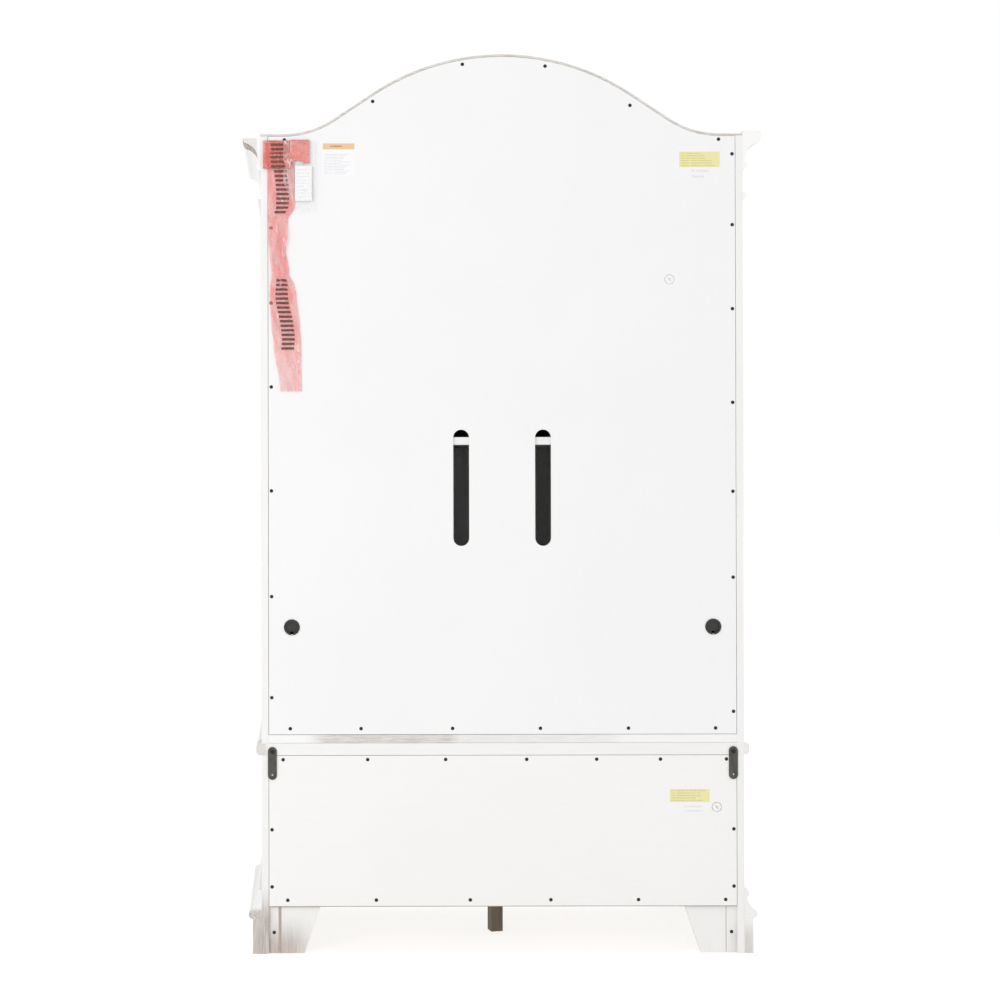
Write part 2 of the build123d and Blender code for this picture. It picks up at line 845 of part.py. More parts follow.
# ---------------------------------------------------------------------------
# Doors
# ---------------------------------------------------------------------------
def hinge_half(sign, way, centre, own):
    """One leaf of a hinge in the active part; way is 1 for the stile and -1 for the door."""
    pin_x = sign * hinge_x
    out = sign * way
    low = centre - hinge_height / 2
    pitch = hinge_height / knuckle_count
    leaf_y = (front - hinge_leaf_thickness, front)
    root = door_gap / 2 + leaf_play / 2
    block((pin_x + out * root, pin_x + out * hinge_leaf_width), leaf_y, (low, low + hinge_height))
    for index in range(knuckle_count):
        middle = low + (index + 0.5) * pitch
        if index % 2 == own:
            with Locations((pin_x, hinge_y, middle)):
                Cylinder(barrel_radius, pitch - knuckle_play)
        else:
            reach = (pitch + knuckle_play) / 2
            block(
                (pin_x, pin_x + out * (barrel_radius + leaf_play)),
                leaf_y,
                (middle - reach, middle + reach),
                Mode.SUBTRACT,
            )
    with Locations((pin_x, hinge_y, centre)):
        Cylinder(pin_radius + pin_clearance, hinge_height, mode=Mode.SUBTRACT)


def knob(x, z):
    """Turned knob on the front face, in the active part."""
    rose = 0.7 * knob_radius
    neck = 0.36 * knob_radius
    neck_end = 0.42 * knob_projection
    widest = 0.7 * knob_projection
    cap = knob_projection - widest
    cap_radius = (knob_radius**2 + cap**2) / (2 * cap)
    with BuildSketch(Plane(origin=(x, front, z), x_dir=(1, 0, 0), z_dir=(0, 0, 1))) as section:
        with BuildLine():
            Polyline((0, 0), (rose, 0), (rose, -2.5), (neck, -5), (neck, -neck_end))
            ThreePointArc(
                (neck, -neck_end),
                (0.8 * knob_radius, -0.52 * knob_projection),
                (knob_radius, -widest),
            )
            RadiusArc((knob_radius, -widest), (0, -knob_projection), cap_radius)
            Line((0, -knob_projection), (0, 0))
        make_face()
    revolve(section.sketch, axis=Axis((x, front, z), (0, 1, 0)))


with BuildPart() as frame_hinge_leaves:
    for sign in (-1, 1):
        for centre in hinge_heights:
            hinge_half(sign, 1, centre, 0)
save(frame_hinge_leaves, "frame_hinge_leaves")

with BuildPart() as hinge_pins:
    tip = 3.0
    tip_radius = 3.6
    for sign in (-1, 1):
        for centre in hinge_heights:
            with Locations((sign * hinge_x, hinge_y, centre)):
                Cylinder(pin_radius, hinge_height + 2 * knuckle_play)
            tip_place = (hinge_height + tip) / 2 + knuckle_play
            with Locations(*[(sign * hinge_x, hinge_y, centre + end * tip_place) for end in (-1, 1)]):
                Cylinder(tip_radius, tip)
save(hinge_pins, "hinge_pins")

with BuildPart() as door_catches:
    for sign in (-1, 1):
        catch_front = frame_back + strike_thickness + catch_play
        block(
            (sign * (catch_offset - catch_size[0] / 2), sign * (catch_offset + catch_size[0] / 2)),
            (catch_front, catch_front + catch_size[1]),
            (tv_shelf_low - catch_size[2], tv_shelf_low),
        )
save(door_catches, "door_catches")

door_low = door_bottom + door_gap
mid_high = door_mid_low + door_mid_rail
tongue_y = frame_back - tongue_back
for side, sign in SIDES.items():
    door_x = (sign * door_gap / 2, sign * (upper_opening - door_gap))
    hole_x = (door_x[0] + sign * door_stile, door_x[1] - sign * door_stile)
    lower_z = (door_low + door_bottom_rail, door_mid_low)
    hole_drop = door_arch_drop + door_gap + door_stile
    groove = tongue_depth + panel_play
    groove_x = (hole_x[0] - sign * groove, hole_x[1] + sign * groove)
    with BuildPart() as door_frame:
        extrude(
            under_arch(frame_back, door_arch_drop + door_gap, door_x, door_low),
            amount=frame_thickness,
        )
        extrude(
            under_arch(frame_back, hole_drop, hole_x, mid_high),
            amount=frame_thickness,
            mode=Mode.SUBTRACT,
        )
        extrude(
            under_arch(tongue_y, hole_drop - groove, groove_x, mid_high - groove),
            amount=tongue_thickness,
            mode=Mode.SUBTRACT,
        )
        block(hole_x, (front, frame_back), lower_z, Mode.SUBTRACT)
        block(
            groove_x,
            (tongue_y - tongue_thickness, tongue_y),
            (lower_z[0] - groove, lower_z[1] + groove),
            Mode.SUBTRACT,
        )
    save(door_frame, f"{side}_door_frame")

    tongue_x = (hole_x[0] - sign * tongue_depth, hole_x[1] + sign * tongue_depth)
    field_x = (hole_x[0] + sign * field_margin, hole_x[1] - sign * field_margin)
    field_y = tongue_y - tongue_thickness
    with BuildPart() as door_panels:
        block(
            tongue_x, (field_y, tongue_y), (lower_z[0] - tongue_depth, lower_z[1] + tongue_depth)
        )
        block(
            field_x,
            (field_y - field_height, field_y),
            (lower_z[0] + field_margin, lower_z[1] - field_margin),
        )
        face = door_panels.faces().sort_by(Axis.Y)[0]
        chamfer(face.edges(), length=field_bevel, length2=field_height - 1, reference=face)
        extrude(
            under_arch(tongue_y, hole_drop - tongue_depth, tongue_x, mid_high - tongue_depth),
            amount=tongue_thickness,
        )
        extrude(
            under_arch(field_y, hole_drop + field_margin, field_x, mid_high + field_margin),
            amount=field_height,
        )
        face = door_panels.faces().group_by(Axis.Y)[0].sort_by(Axis.Z)[-1]
        chamfer(face.edges(), length=field_bevel, length2=field_height - 1, reference=face)
    save(door_panels, f"{side}_door_panels")

    with BuildPart() as door_hinge_leaves:
        for centre in hinge_heights:
            hinge_half(sign, -1, centre, 1)
    save(door_hinge_leaves, f"{side}_door_hinge_leaves")

    with BuildPart() as door_knob:
        knob(door_x[0] + sign * door_stile / 2, door_knob_height)
    save(door_knob, f"{side}_door_knob")

    with BuildPart() as door_strike:
        half_strike = catch_size[0] / 3
        block(
            (sign * (catch_offset - half_strike), sign * (catch_offset + half_strike)),
            (frame_back, frame_back + strike_thickness),
            (tv_shelf_low - catch_size[2], tv_shelf_low - 1),
        )
    save(door_strike, f"{side}_door_strike")

# ---------------------------------------------------------------------------
# Drawers and slides
# ---------------------------------------------------------------------------
case_channel = ((0, slide_metal), (0, 9.0))
mid_channel = ((5.4, 5.4 + slide_metal), (2.4, 10.6))
drawer_channel = ((slide_width - slide_metal, slide_width), (7.6, slide_width))
case_half = slide_height / 2
mid_channel_half = case_half - 3.5
drawer_channel_half = case_half - 6.2
slide_y = (frame_back + slide_setback, frame_back + slide_setback + slide_length)

with BuildPart() as slide_case_members:
    for sign in (-1, 1):
        slide_channel(sign * base_opening, -sign, case_channel, slide_y, case_half)
        slide_channel(sign * mid_half, sign, case_channel, slide_y, case_half)
save(slide_case_members, "slide_case_members")

for side, sign in SIDES.items():
    walls = ((sign * base_opening, -sign), (sign * mid_half, sign))
    front_x = (walls[0][0] - sign * drawer_gap, walls[1][0] + sign * drawer_gap)
    box_x = (walls[0][0] - sign * slide_width, walls[1][0] + sign * slide_width)
    bay_centre = (front_x[0] + front_x[1]) / 2

    with BuildPart() as drawer_front:
        block(
            front_x,
            (front, frame_back),
            (drawer_opening_low + drawer_gap, drawer_opening_high - drawer_gap),
        )
        face = drawer_front.faces().sort_by(Axis.Y)[0]
        chamfer(face.edges(), length=drawer_bevel, length2=drawer_bevel_depth, reference=face)
    save(drawer_front, f"{side}_drawer_front")

    with BuildPart() as drawer_box:
        box_y = (frame_back, frame_back + box_depth)
        inner_x = (box_x[0] - sign * box_board, box_x[1] + sign * box_board)
        inner_y = (box_y[0] + box_board, box_y[1] - box_board)
        block(box_x, box_y, (box_low, box_high))
        block(inner_x, inner_y, (box_bottom_low + box_bottom_thickness, box_high), Mode.SUBTRACT)
        block(inner_x, inner_y, (box_low, box_bottom_low), Mode.SUBTRACT)
    save(drawer_box, f"{side}_drawer_box")

    with BuildPart() as drawer_knobs:
        for way in (-1, 1):
            knob(bay_centre + way * drawer_knob_spread / 2, (drawer_opening_low + drawer_opening_high) / 2)
    save(drawer_knobs, f"{side}_drawer_knobs")

    with BuildPart() as mid_members:
        for wall, way in walls:
            slide_channel(wall, way, mid_channel, slide_y, mid_channel_half)
    save(mid_members, f"{side}_slide_mid_members")

    with BuildPart() as drawer_members:
        for wall, way in walls:
            slide_channel(wall, way, drawer_channel, slide_y, drawer_channel_half)
    save(drawer_members, f"{side}_slide_drawer_members")

# ---------------------------------------------------------------------------
# Hardware bag: a folded head with a leaflet pocket and a long twisted tail
# ---------------------------------------------------------------------------
with BuildPart() as hardware_bag:
    corners = [(bag_outer_x - inward, bag_top - down) for inward, down in bag_outline]
    with BuildSketch(facing(rear + bag_stand_off)):
        with BuildLine():
            Polyline(*corners, close=True)
        make_face()
    extrude(amount=-(bag_depth - bag_stand_off))
save(hardware_bag, "hardware_bag")
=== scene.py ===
"""Looks of a two-part painted armoire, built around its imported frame."""

import logging
import math
from dataclasses import dataclass
from enum import Enum
from typing import Any, Sequence

import bmesh
import bpy
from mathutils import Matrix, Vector, noise


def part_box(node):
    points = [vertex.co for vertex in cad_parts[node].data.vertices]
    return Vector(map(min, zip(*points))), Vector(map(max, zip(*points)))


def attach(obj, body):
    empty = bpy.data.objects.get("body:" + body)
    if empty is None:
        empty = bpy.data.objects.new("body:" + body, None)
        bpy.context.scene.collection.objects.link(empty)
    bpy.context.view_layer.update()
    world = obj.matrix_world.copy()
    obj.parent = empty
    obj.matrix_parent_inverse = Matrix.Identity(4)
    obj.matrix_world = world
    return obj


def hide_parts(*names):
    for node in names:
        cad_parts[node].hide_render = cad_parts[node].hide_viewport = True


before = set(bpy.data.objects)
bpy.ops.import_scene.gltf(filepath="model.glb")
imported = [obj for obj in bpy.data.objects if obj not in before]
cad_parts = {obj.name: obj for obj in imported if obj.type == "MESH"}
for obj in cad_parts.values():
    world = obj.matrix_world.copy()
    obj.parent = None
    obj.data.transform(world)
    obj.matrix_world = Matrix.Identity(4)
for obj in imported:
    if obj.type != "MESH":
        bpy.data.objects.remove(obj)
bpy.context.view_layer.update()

Colour = tuple[float, float, float]
Point = tuple[float, float, float]

log = logging.getLogger("armoire")
CABINET = "cabinet"


class Slot(Enum):
    """Three of the record's material slots, by name."""

    SCREWS = "screws"
    BAG = "bag_film"
    BACK = "painted_back"


class Grain(Enum):
    """The axis that a board's grain and brush strokes run along."""

    ACROSS = 0
    DEEP = 1
    UPRIGHT = 2


class Head(Enum):
    """The two shapes of screw head."""

    FLAT = "flat"
    PAN = "pan"


# ---------------------------------------------------------------------------
# Shader graphs
# ---------------------------------------------------------------------------
class Wire:
    """One number that varies over a surface, with Python's arithmetic."""

    def __init__(self, graph: "Graph", socket: bpy.types.NodeSocket) -> None:
        """Wrap a socket.

        Args:
            graph: The graph that the socket belongs to.
            socket: The output socket that carries the number.
        """
        self.graph = graph
        self.socket = socket

    def _math(self, operation: str, *values: "Wire | float") -> "Wire":
        """Add one Math node.

        Args:
            operation: The Math node's operation.
            values: Its operands, in order.

        Returns:
            The node's result.
        """
        node = self.graph.add("ShaderNodeMath", {"operation": operation}, dict(enumerate(values)))
        return Wire(self.graph, node.outputs[0])

    def __add__(self, other: "Wire | float") -> "Wire":
        """Sum."""
        return self._math("ADD", self, other)

    __radd__ = __add__

    def __mul__(self, other: "Wire | float") -> "Wire":
        """Product."""
        return self._math("MULTIPLY", self, other)

    __rmul__ = __mul__

    def __sub__(self, other: "Wire | float") -> "Wire":
        """Difference."""
        return self._math("SUBTRACT", self, other)

    def __rsub__(self, other: "Wire | float") -> "Wire":
        """Difference from a number."""
        return self._math("SUBTRACT", other, self)

    def __truediv__(self, other: "Wire | float") -> "Wire":
        """Quotient."""
        return self._math("DIVIDE", self, other)

    def __gt__(self, other: "Wire | float") -> "Wire":
        """One where this is the greater, and zero elsewhere."""
        return self._math("GREATER_THAN", self, other)

    def __lt__(self, other: "Wire | float") -> "Wire":
        """One where this is the smaller, and zero elsewhere."""
        return self._math("LESS_THAN", self, other)

    def __abs__(self) -> "Wire":
        """Size without sign."""
        return self._math("ABSOLUTE", self)

    def fract(self) -> "Wire":
        """Part after the decimal point."""
        return self._math("FRACT", self)

    def floor(self) -> "Wire":
        """Whole part."""
        return self._math("FLOOR", self)

    def sine(self) -> "Wire":
        """Sine of the number in radians."""
        return self._math("SINE", self)

    def most(self, other: "Wire | float") -> "Wire":
        """The greater of two."""
        return self._math("MAXIMUM", self, other)

    def ramp(self, low: float, high: float) -> "Wire":
        """Smooth step.

        Args:
            low: The value at which the result is 0.
            high: The value at which the result is 1.

        Returns:
            A number from 0 to 1.
        """
        start, end = (0.0, 1.0) if low < high else (1.0, 0.0)
        settings = {"interpolation_type": "SMOOTHSTEP"}
        ends = {0: self, 1: min(low, high), 2: max(low, high), 3: start, 4: end}
        return Wire(self.graph, self.graph.add("ShaderNodeMapRange", settings, ends).outputs[0])


class Graph:
    """The node tree of one material."""

    def __init__(self, name: str) -> None:
        """Start an empty material.

        Args:
            name: The material's name.
        """
        self.material = bpy.data.materials.new(name)
        self.material.use_nodes = True
        self.tree = self.material.node_tree
        self.tree.nodes.clear()
        self.place = self.add("ShaderNodeTexCoord").outputs["Object"]

    def add(
        self, kind: str, settings: dict[str, Any] | None = None, values: dict[Any, Any] | None = None
    ) -> bpy.types.Node:
        """Add a node of any type.

        Args:
            kind: The node's type.
            settings: Its properties, set before its sockets.
            values: A number, colour, socket or Wire for each input, by index or name.

        Returns:
            The node.
        """
        node = self.tree.nodes.new(kind)
        for key, value in (settings or {}).items():
            setattr(node, key, value)
        for key, value in (values or {}).items():
            socket = node.inputs[key]
            if isinstance(value, Wire):
                self.tree.links.new(value.socket, socket)
            elif isinstance(value, bpy.types.NodeSocket):
                self.tree.links.new(value, socket)
            elif socket.type == "RGBA":
                socket.default_value = (*value[:3], 1.0)
            else:
                socket.default_value = value
        return node

    def split(self, vector: bpy.types.NodeSocket) -> tuple[Wire, Wire, Wire]:
        """The three parts of a vector."""
        parts = self.add("ShaderNodeSeparateXYZ", {}, {0: vector}).outputs
        return Wire(self, parts[0]), Wire(self, parts[1]), Wire(self, parts[2])

    def stretched(
        self, scale: Sequence[float], vector: bpy.types.NodeSocket | None = None
    ) -> bpy.types.NodeSocket:
        """Coordinates multiplied along each axis, the object's own if no others are given."""
        place = self.place if vector is None else vector
        return self.add("ShaderNodeMapping", {}, {"Vector": place, "Scale": scale}).outputs[0]

    def along(self, grain: Grain, lengthwise: float, crosswise: float) -> bpy.types.NodeSocket:
        """Object coordinates drawn out along a grain.

        Args:
            grain: The axis of the grain.
            lengthwise: Scale along it.
            crosswise: Scale over it.

        Returns:
            The coordinates.
        """
        scale = [crosswise] * 3
        scale[grain.value] = lengthwise
        return self.stretched(scale)

    def noise(
        self,
        vector: bpy.types.NodeSocket,
        scale: float,
        detail: float = 3.0,
        rough: float = 0.5,
        warp: float = 0.0,
    ) -> Wire:
        """Cloudy noise.

        Args:
            vector: The coordinates it is read at.
            scale: Features to the metre.
            detail: Finer layers.
            rough: Weight of the finer layers.
            warp: Distortion.

        Returns:
            A number around one half.
        """
        values = {"Vector": vector, "Scale": scale, "Detail": detail}
        values |= {"Roughness": rough, "Distortion": warp}
        return Wire(self, self.add("ShaderNodeTexNoise", {}, values).outputs[0])

    def cells(self, vector: bpy.types.NodeSocket, scale: float) -> Wire:
        """Distance to the nearest of scattered points."""
        node = self.add("ShaderNodeTexVoronoi", {}, {"Vector": vector, "Scale": scale})
        return Wire(self, node.outputs[0])

    def mix(self, share: Wire | float, first: Any, second: Any) -> bpy.types.NodeSocket:
        """Colour between two colours.

        Args:
            share: Share of the second colour.
            first: The colour where the share is 0.
            second: The colour where the share is 1.

        Returns:
            The mixed colour.
        """
        settings = {"data_type": "RGBA", "clamp_factor": True}
        return self.add("ShaderNodeMix", settings, {0: share, 6: first, 7: second}).outputs[2]

    def bump(self, height: Wire, depth: float, strength: float = 1.0) -> bpy.types.NodeSocket:
        """Normal over a relief of the given depth in metres."""
        values = {"Height": height, "Distance": depth, "Strength": strength}
        return self.add("ShaderNodeBump", {}, values).outputs[0]

    def corner(self, radius: float) -> Wire:
        """How much a surface turns within a radius: zero on a flat."""
        rounded = self.add("ShaderNodeBevel", {"samples": 4}, {"Radius": radius}).outputs[0]
        flat = self.add("ShaderNodeNewGeometry").outputs["True Normal"]
        dot = self.add("ShaderNodeVectorMath", {"operation": "DOT_PRODUCT"}, {0: rounded, 1: flat})
        return 1.0 - Wire(self, dot.outputs["Value"])

    def finish(self, **values: Any) -> bpy.types.Material:
        """Close the graph with a Principled surface.

        Args:
            values: Its inputs, with underscores for the spaces of their names.

        Returns:
            The finished material.
        """
        named = {key.replace("_", " "): value for key, value in values.items()}
        shader = self.add("ShaderNodeBsdfPrincipled", {}, named).outputs[0]
        self.add("ShaderNodeOutputMaterial", {}, {"Surface": shader})
        return self.material


# ---------------------------------------------------------------------------
# Finishes
# ---------------------------------------------------------------------------
@dataclass(frozen=True)
class RubAndShade:
    """A soft-edged block of space coloured like the brown wood: worn-through paint in most, painted shade
    in a few.

    The torn share is how far the strokes of the brush break it up.
    """

    low: Point
    high: Point
    strength: float
    soft: float = 0.02
    torn: float = 0.75

    def mask(self, graph: Graph, strokes: Wire) -> Wire:
        """Share of the brown, from 0 to the strength, broken up along the strokes: worn paint in most
        blocks, painted shade in a few.
        """
        broken = 1.0 - 0.6 * self.torn + self.torn * strokes.ramp(0.38, 0.6)
        share = self.strength * broken
        for wire, low, high in zip(graph.split(graph.place), self.low, self.high):
            reach = abs(wire - (low + high) / 2)
            share = share * reach.ramp((high - low) / 2 + self.soft, (high - low) / 2)
        return share


@dataclass(frozen=True)
class Finish:
    """A named surface finish."""

    name: str

    def material(self) -> bpy.types.Material:
        """The finish's material, made once."""
        return bpy.data.materials.get(self.name) or self.build(Graph(self.name))

    def build(self, graph: Graph) -> bpy.types.Material:
        """Build the finish's nodes."""
        raise NotImplementedError

    def dress(self, *nodes: str) -> None:
        """Give this finish to frame nodes.

        Args:
            nodes: The nodes' names.
        """
        for node in nodes:
            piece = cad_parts[node]
            for slot in piece.material_slots:
                slot.material = self.material()
            log.info("dressed %s in %s", node, self.name)


@dataclass(frozen=True)
class Paint(Finish):
    """Brushed antique paint over brown wood, thin on the arrises."""

    paint: Colour = (0.752, 0.749, 0.740)
    shade: Colour = (0.720, 0.711, 0.694)
    wood: Colour = (0.34, 0.25, 0.19)
    grain: Grain = Grain.UPRIGHT
    rubs_and_shade: tuple[RubAndShade, ...] = ()
    edge: float = 0.35
    streak: float = 0.5
    rough: float = 0.46
    relief: float = 0.00012
    stroke_length: float = 1.3
    stroke_width: float = 26.0
    arris: float = 0.0018

    def build(self, graph: Graph) -> bpy.types.Material:
        """Cloudy tone, brush strokes along the grain, rubbed places, blocks of painted shade and thin
        arrises.
        """
        brushed = graph.along(self.grain, self.stroke_length, self.stroke_width)
        strokes = graph.noise(brushed, 9.0, 6.0, 0.62)
        cloud = graph.noise(graph.place, 2.6, 4.0, 0.55, 0.4)
        speck = graph.noise(graph.place, 420.0, 2.0)
        tone = strokes.ramp(0.36, 0.68) * self.streak + cloud.ramp(0.34, 0.7) * (1 - self.streak)
        colour = graph.mix(tone, self.paint, self.shade)
        torn = graph.noise(brushed, 16.0, 5.0, 0.7, 0.3)
        bare_and_shaded = graph.corner(self.arris).ramp(0.02, 0.26) * torn.ramp(0.40, 0.62) * self.edge
        # Blocks add brown: worn paint in most, painted shade in the few that stand for shadow.
        for patch in self.rubs_and_shade:
            bare_and_shaded = bare_and_shaded.most(patch.mask(graph, torn))
        dark_wood = [0.62 * part for part in self.wood]
        wood = graph.mix(strokes.ramp(0.35, 0.65), self.wood, dark_wood)
        colour = graph.mix(bare_and_shaded, colour, wood)
        roughness = self.rough + 0.12 * (strokes - 0.5) + 0.25 * bare_and_shaded
        height = strokes * 0.6 + speck * 0.25 - 0.5 * bare_and_shaded
        return graph.finish(
            Base_Color=colour,
            Roughness=roughness,
            Normal=graph.bump(height, self.relief, 0.6),
            Specular_IOR_Level=0.42,
        )


@dataclass(frozen=True)
class Wood(Finish):
    """Bare board with a figure that runs along its grain."""

    light: Colour = (0.56, 0.43, 0.30)
    dark: Colour = (0.40, 0.28, 0.18)
    grain: Grain = Grain.ACROSS
    rough: float = 0.55
    coat: float = 0.0
    year_lines: float = 42.0
    relief: float = 0.00018

    def build(self, graph: Graph) -> bpy.types.Material:
        """Wandering year lines, pores and a slow change of tone."""
        lines = graph.noise(graph.along(self.grain, 0.09, 1.0), 13.0, 3.0, 0.5, 0.7)
        figure = (lines * self.year_lines).sine() * 0.5 + 0.5
        pores = graph.noise(graph.along(self.grain, 2.2, 60.0), 14.0, 3.0, 0.6)
        cloud = graph.noise(graph.place, 3.0, 3.0)
        share = figure * 0.35 + pores.ramp(0.35, 0.7) * 0.4 + cloud.ramp(0.3, 0.75) * 0.25
        return graph.finish(
            Base_Color=graph.mix(share, self.light, self.dark),
            Roughness=self.rough + 0.16 * (pores - 0.5),
            Normal=graph.bump(pores * 0.7 + figure * 0.3, self.relief, 0.55),
            Coat_Weight=self.coat,
        )


@dataclass(frozen=True)
class Metal(Finish):
    """Cast, rolled or plated metal with rubbed high places."""

    base: Colour = (0.5, 0.5, 0.5)
    tarnish: Colour = (0.3, 0.3, 0.3)
    metallic: float = 1.0
    rough: float = 0.35
    brushed: Grain | None = None
    worn: float = 0.4
    relief: float = 0.00006
    arris: float = 0.0009

    def build(self, graph: Graph) -> bpy.types.Material:
        """Tarnish in clouds, brushing along one axis if any, and bright arrises."""
        cloud = graph.noise(graph.place, 55.0, 5.0, 0.62, 0.5)
        grit = graph.noise(graph.place, 1500.0, 2.0)
        if self.brushed is not None:
            grit = graph.noise(graph.along(self.brushed, 12.0, 900.0), 1.0, 3.0, 0.6)
        bright = graph.corner(self.arris).ramp(0.02, 0.3) * self.worn
        dull = cloud.ramp(0.38, 0.66) * 0.8
        polished = [min(1.0, part * 1.9 + 0.03) for part in self.base]
        colour = graph.mix(dull, self.base, self.tarnish)
        colour = graph.mix(bright, colour, polished)
        roughness = self.rough + 0.22 * (cloud - 0.5) + 0.12 * (grit - 0.5) - 0.1 * bright
        return graph.finish(
            Base_Color=colour,
            Metallic=self.metallic,
            Roughness=roughness,
            Normal=graph.bump(grit, self.relief, 0.5),
        )


@dataclass(frozen=True)
class Plastic(Finish):
    """Moulded plastic with a spark-eroded texture and dust."""

    base: Colour = (0.015, 0.0135, 0.011)
    dust: Colour = (0.032, 0.029, 0.025)
    rough: float = 0.45

    def build(self, graph: Graph) -> bpy.types.Material:
        """Fine texture with a little dust in clouds."""
        cloud = graph.noise(graph.place, 90.0, 4.0, 0.6)
        texture = graph.cells(graph.place, 1800.0)
        return graph.finish(
            Base_Color=graph.mix(cloud.ramp(0.45, 0.75) * 0.7, self.base, self.dust),
            Roughness=self.rough + 0.2 * (cloud - 0.5),
            Normal=graph.bump(texture, 0.00004, 0.5),
        )


@dataclass(frozen=True)
class Film(Finish):
    """Thin film with painted highlights along its wrinkles, with blocks of ink on it."""

    film: Colour = (0.95, 0.22, 0.20)
    deep: Colour = (0.84, 0.165, 0.125)
    ink: Colour = (0.075, 0.022, 0.012)
    clear: float = 0.28
    inked: tuple[tuple[float, float], ...] = ()
    ink_band: tuple[float, float] = (0.27, 0.74)
    ink_pitch: float = 0.01025
    deep_from: float = 9.0
    fade_to: float = 0.0
    flat_width: float = 0.063
    lean: float = 0.32
    fold_size: Point = (0.016, 0.085, 1.0)
    sparkle: float = 1.0
    sparkle_to: float = 2.0
    relief: float = 0.0012
    highlight: Colour = (1.0, 0.95, 0.94)
    crease_white_and_highlight: Colour = (0.95, 0.62, 0.58)

    def build(self, graph: Graph) -> bpy.types.Material:
        """Film over its own map: across from 0 to 1, and along in metres."""
        flat = graph.add("ShaderNodeUVMap", {"uv_map": "film"}).outputs[0]
        across, along, _ = graph.split(flat)
        stretch = graph.stretched((2.2, 9.0, 1.0), flat)
        creases = graph.noise(stretch, 3.2, 4.0, 0.55, 1.4)
        ridge = abs(creases - 0.5).ramp(0.035, 0.0)
        level = graph.stretched((self.flat_width, 1.0, 1.0), flat)
        slant = {"Vector": level, "Rotation": (0, 0, self.lean), "Scale": self.fold_size}
        leaning = graph.add("ShaderNodeMapping", {"vector_type": "TEXTURE"}, slant).outputs[0]
        folds = graph.noise(leaning, 1.0, 2.0, 0.45, 0.9)
        doubled = folds.ramp(0.46, 0.58)
        # Painted highlights: white glints along the fold crests, which are also made more opaque.
        glint = abs(folds - 0.52).ramp(0.022 * self.sparkle, 0.0) * creases.ramp(0.47, 0.60)
        glint = glint * across.ramp(self.sparkle_to, self.sparkle_to - 0.15)
        cloud = graph.noise(stretch, 1.1, 3.0)
        # Darker red over the folded head: partly layered film, partly painted shade of the fold.
        head = along.ramp(self.deep_from - 0.004, self.deep_from + 0.004)
        colour = graph.mix(head, self.film, self.deep)
        # Creases lightened toward white: partly the film's stress whitening, partly painted highlight.
        colour = graph.mix(ridge * 0.35, colour, self.crease_white_and_highlight)
        colour = graph.mix(glint * 0.8, colour, self.highlight)
        thin = 1.0 - 0.4 * along.ramp(self.fade_to, 0.0) if self.fade_to else 1.0
        alpha = self.clear * (0.72 + 0.24 * cloud + 0.34 * doubled) * thin
        alpha = alpha + ridge * 0.10 + head * 0.10 + glint * 0.35
        edge = abs(across - 0.5).ramp(0.485, 0.497)
        alpha = alpha + edge * 0.15
        printed: Wire | float = 0.0
        low, high = self.ink_band
        for start, end in self.inked:
            row = (along - start) / self.ink_pitch
            ragged = (row.floor() * 12.9898).sine() * 0.05
            bar = (abs(row.fract() - 0.5) < 0.27) * (along > start) * (along < end)
            column = (across > ragged + low) * (across < ragged + high)
            printed = bar * column + printed
        if self.inked:
            worn = graph.noise(stretch, 14.0, 4.0).ramp(0.30, 0.42)
            printed = printed * (0.45 + 0.5 * worn)
            colour = graph.mix(printed, colour, self.ink)
            alpha = alpha + printed * 0.55
        return graph.finish(
            Base_Color=colour,
            Alpha=alpha,
            Roughness=0.16 + 0.12 * cloud,
            Normal=graph.bump(creases + ridge * 0.5, self.relief, 0.7),
            Specular_IOR_Level=0.75,
        )


@dataclass(frozen=True)
class Block:
    """A printed rectangle on paper: its low and high corners as x and z, and its colour."""

    low: tuple[float, float]
    high: tuple[float, float]
    colour: Colour
    lines: int = 0
    strength: float = 0.9


@dataclass(frozen=True)
class Paper(Finish):
    """Coated paper with plain ruled bars and blocks."""

    paper: Colour = (0.772, 0.772, 0.780)
    blocks: tuple[Block, ...] = ()

    def build(self, graph: Graph) -> bpy.types.Material:
        """Lay each block over the paper, ruled bars of ragged length inside it."""
        x, _, z = graph.split(graph.place)
        fibre = graph.noise(graph.place, 900.0, 3.0)
        colour = graph.mix(fibre * 0.12, self.paper, (0.66, 0.66, 0.67))
        for block in self.blocks:
            share = (x > block.low[0]) * (x < block.high[0]) * (z > block.low[1]) * (z < block.high[1])
            if block.lines:
                pitch = (block.high[1] - block.low[1]) / block.lines
                row = (z - block.low[1]) / pitch
                seed = (row.floor() * 12.9898 + block.low[0] * 78.0).sine() * 43758.5
                reach = block.low[0] + (0.05 + 0.4 * seed.fract()) * (block.high[0] - block.low[0])
                gaps = graph.noise(graph.stretched((230.0, 1.0, 40.0)), 1.0, 2.0).ramp(0.36, 0.46)
                share = share * (abs(row.fract() - 0.5) < 0.2) * (x > reach) * (0.35 + 0.65 * gaps)
            colour = graph.mix(share * block.strength, colour, block.colour)
        return graph.finish(
            Base_Color=colour,
            Roughness=0.5 + 0.2 * fibre,
            Normal=graph.bump(fibre, 0.00003, 0.5),
        )


@dataclass(frozen=True)
class Ink(Finish):
    """Faint stamp ink that has taken unevenly."""

    ink: Colour = (0.30, 0.29, 0.31)
    strength: float = 0.5

    def build(self, graph: Graph) -> bpy.types.Material:
        """Broken ink."""
        broken = graph.noise(graph.place, 380.0, 4.0, 0.6)
        return graph.finish(
            Base_Color=graph.mix(broken, self.ink, (0.55, 0.54, 0.56)),
            Alpha=broken.ramp(0.34, 0.54) * self.strength,
            Roughness=0.6 + 0.2 * broken,
        )


WHITE: Colour = (0.756, 0.756, 0.754)
LOW_WHITE: Colour = (0.764, 0.758, 0.746)

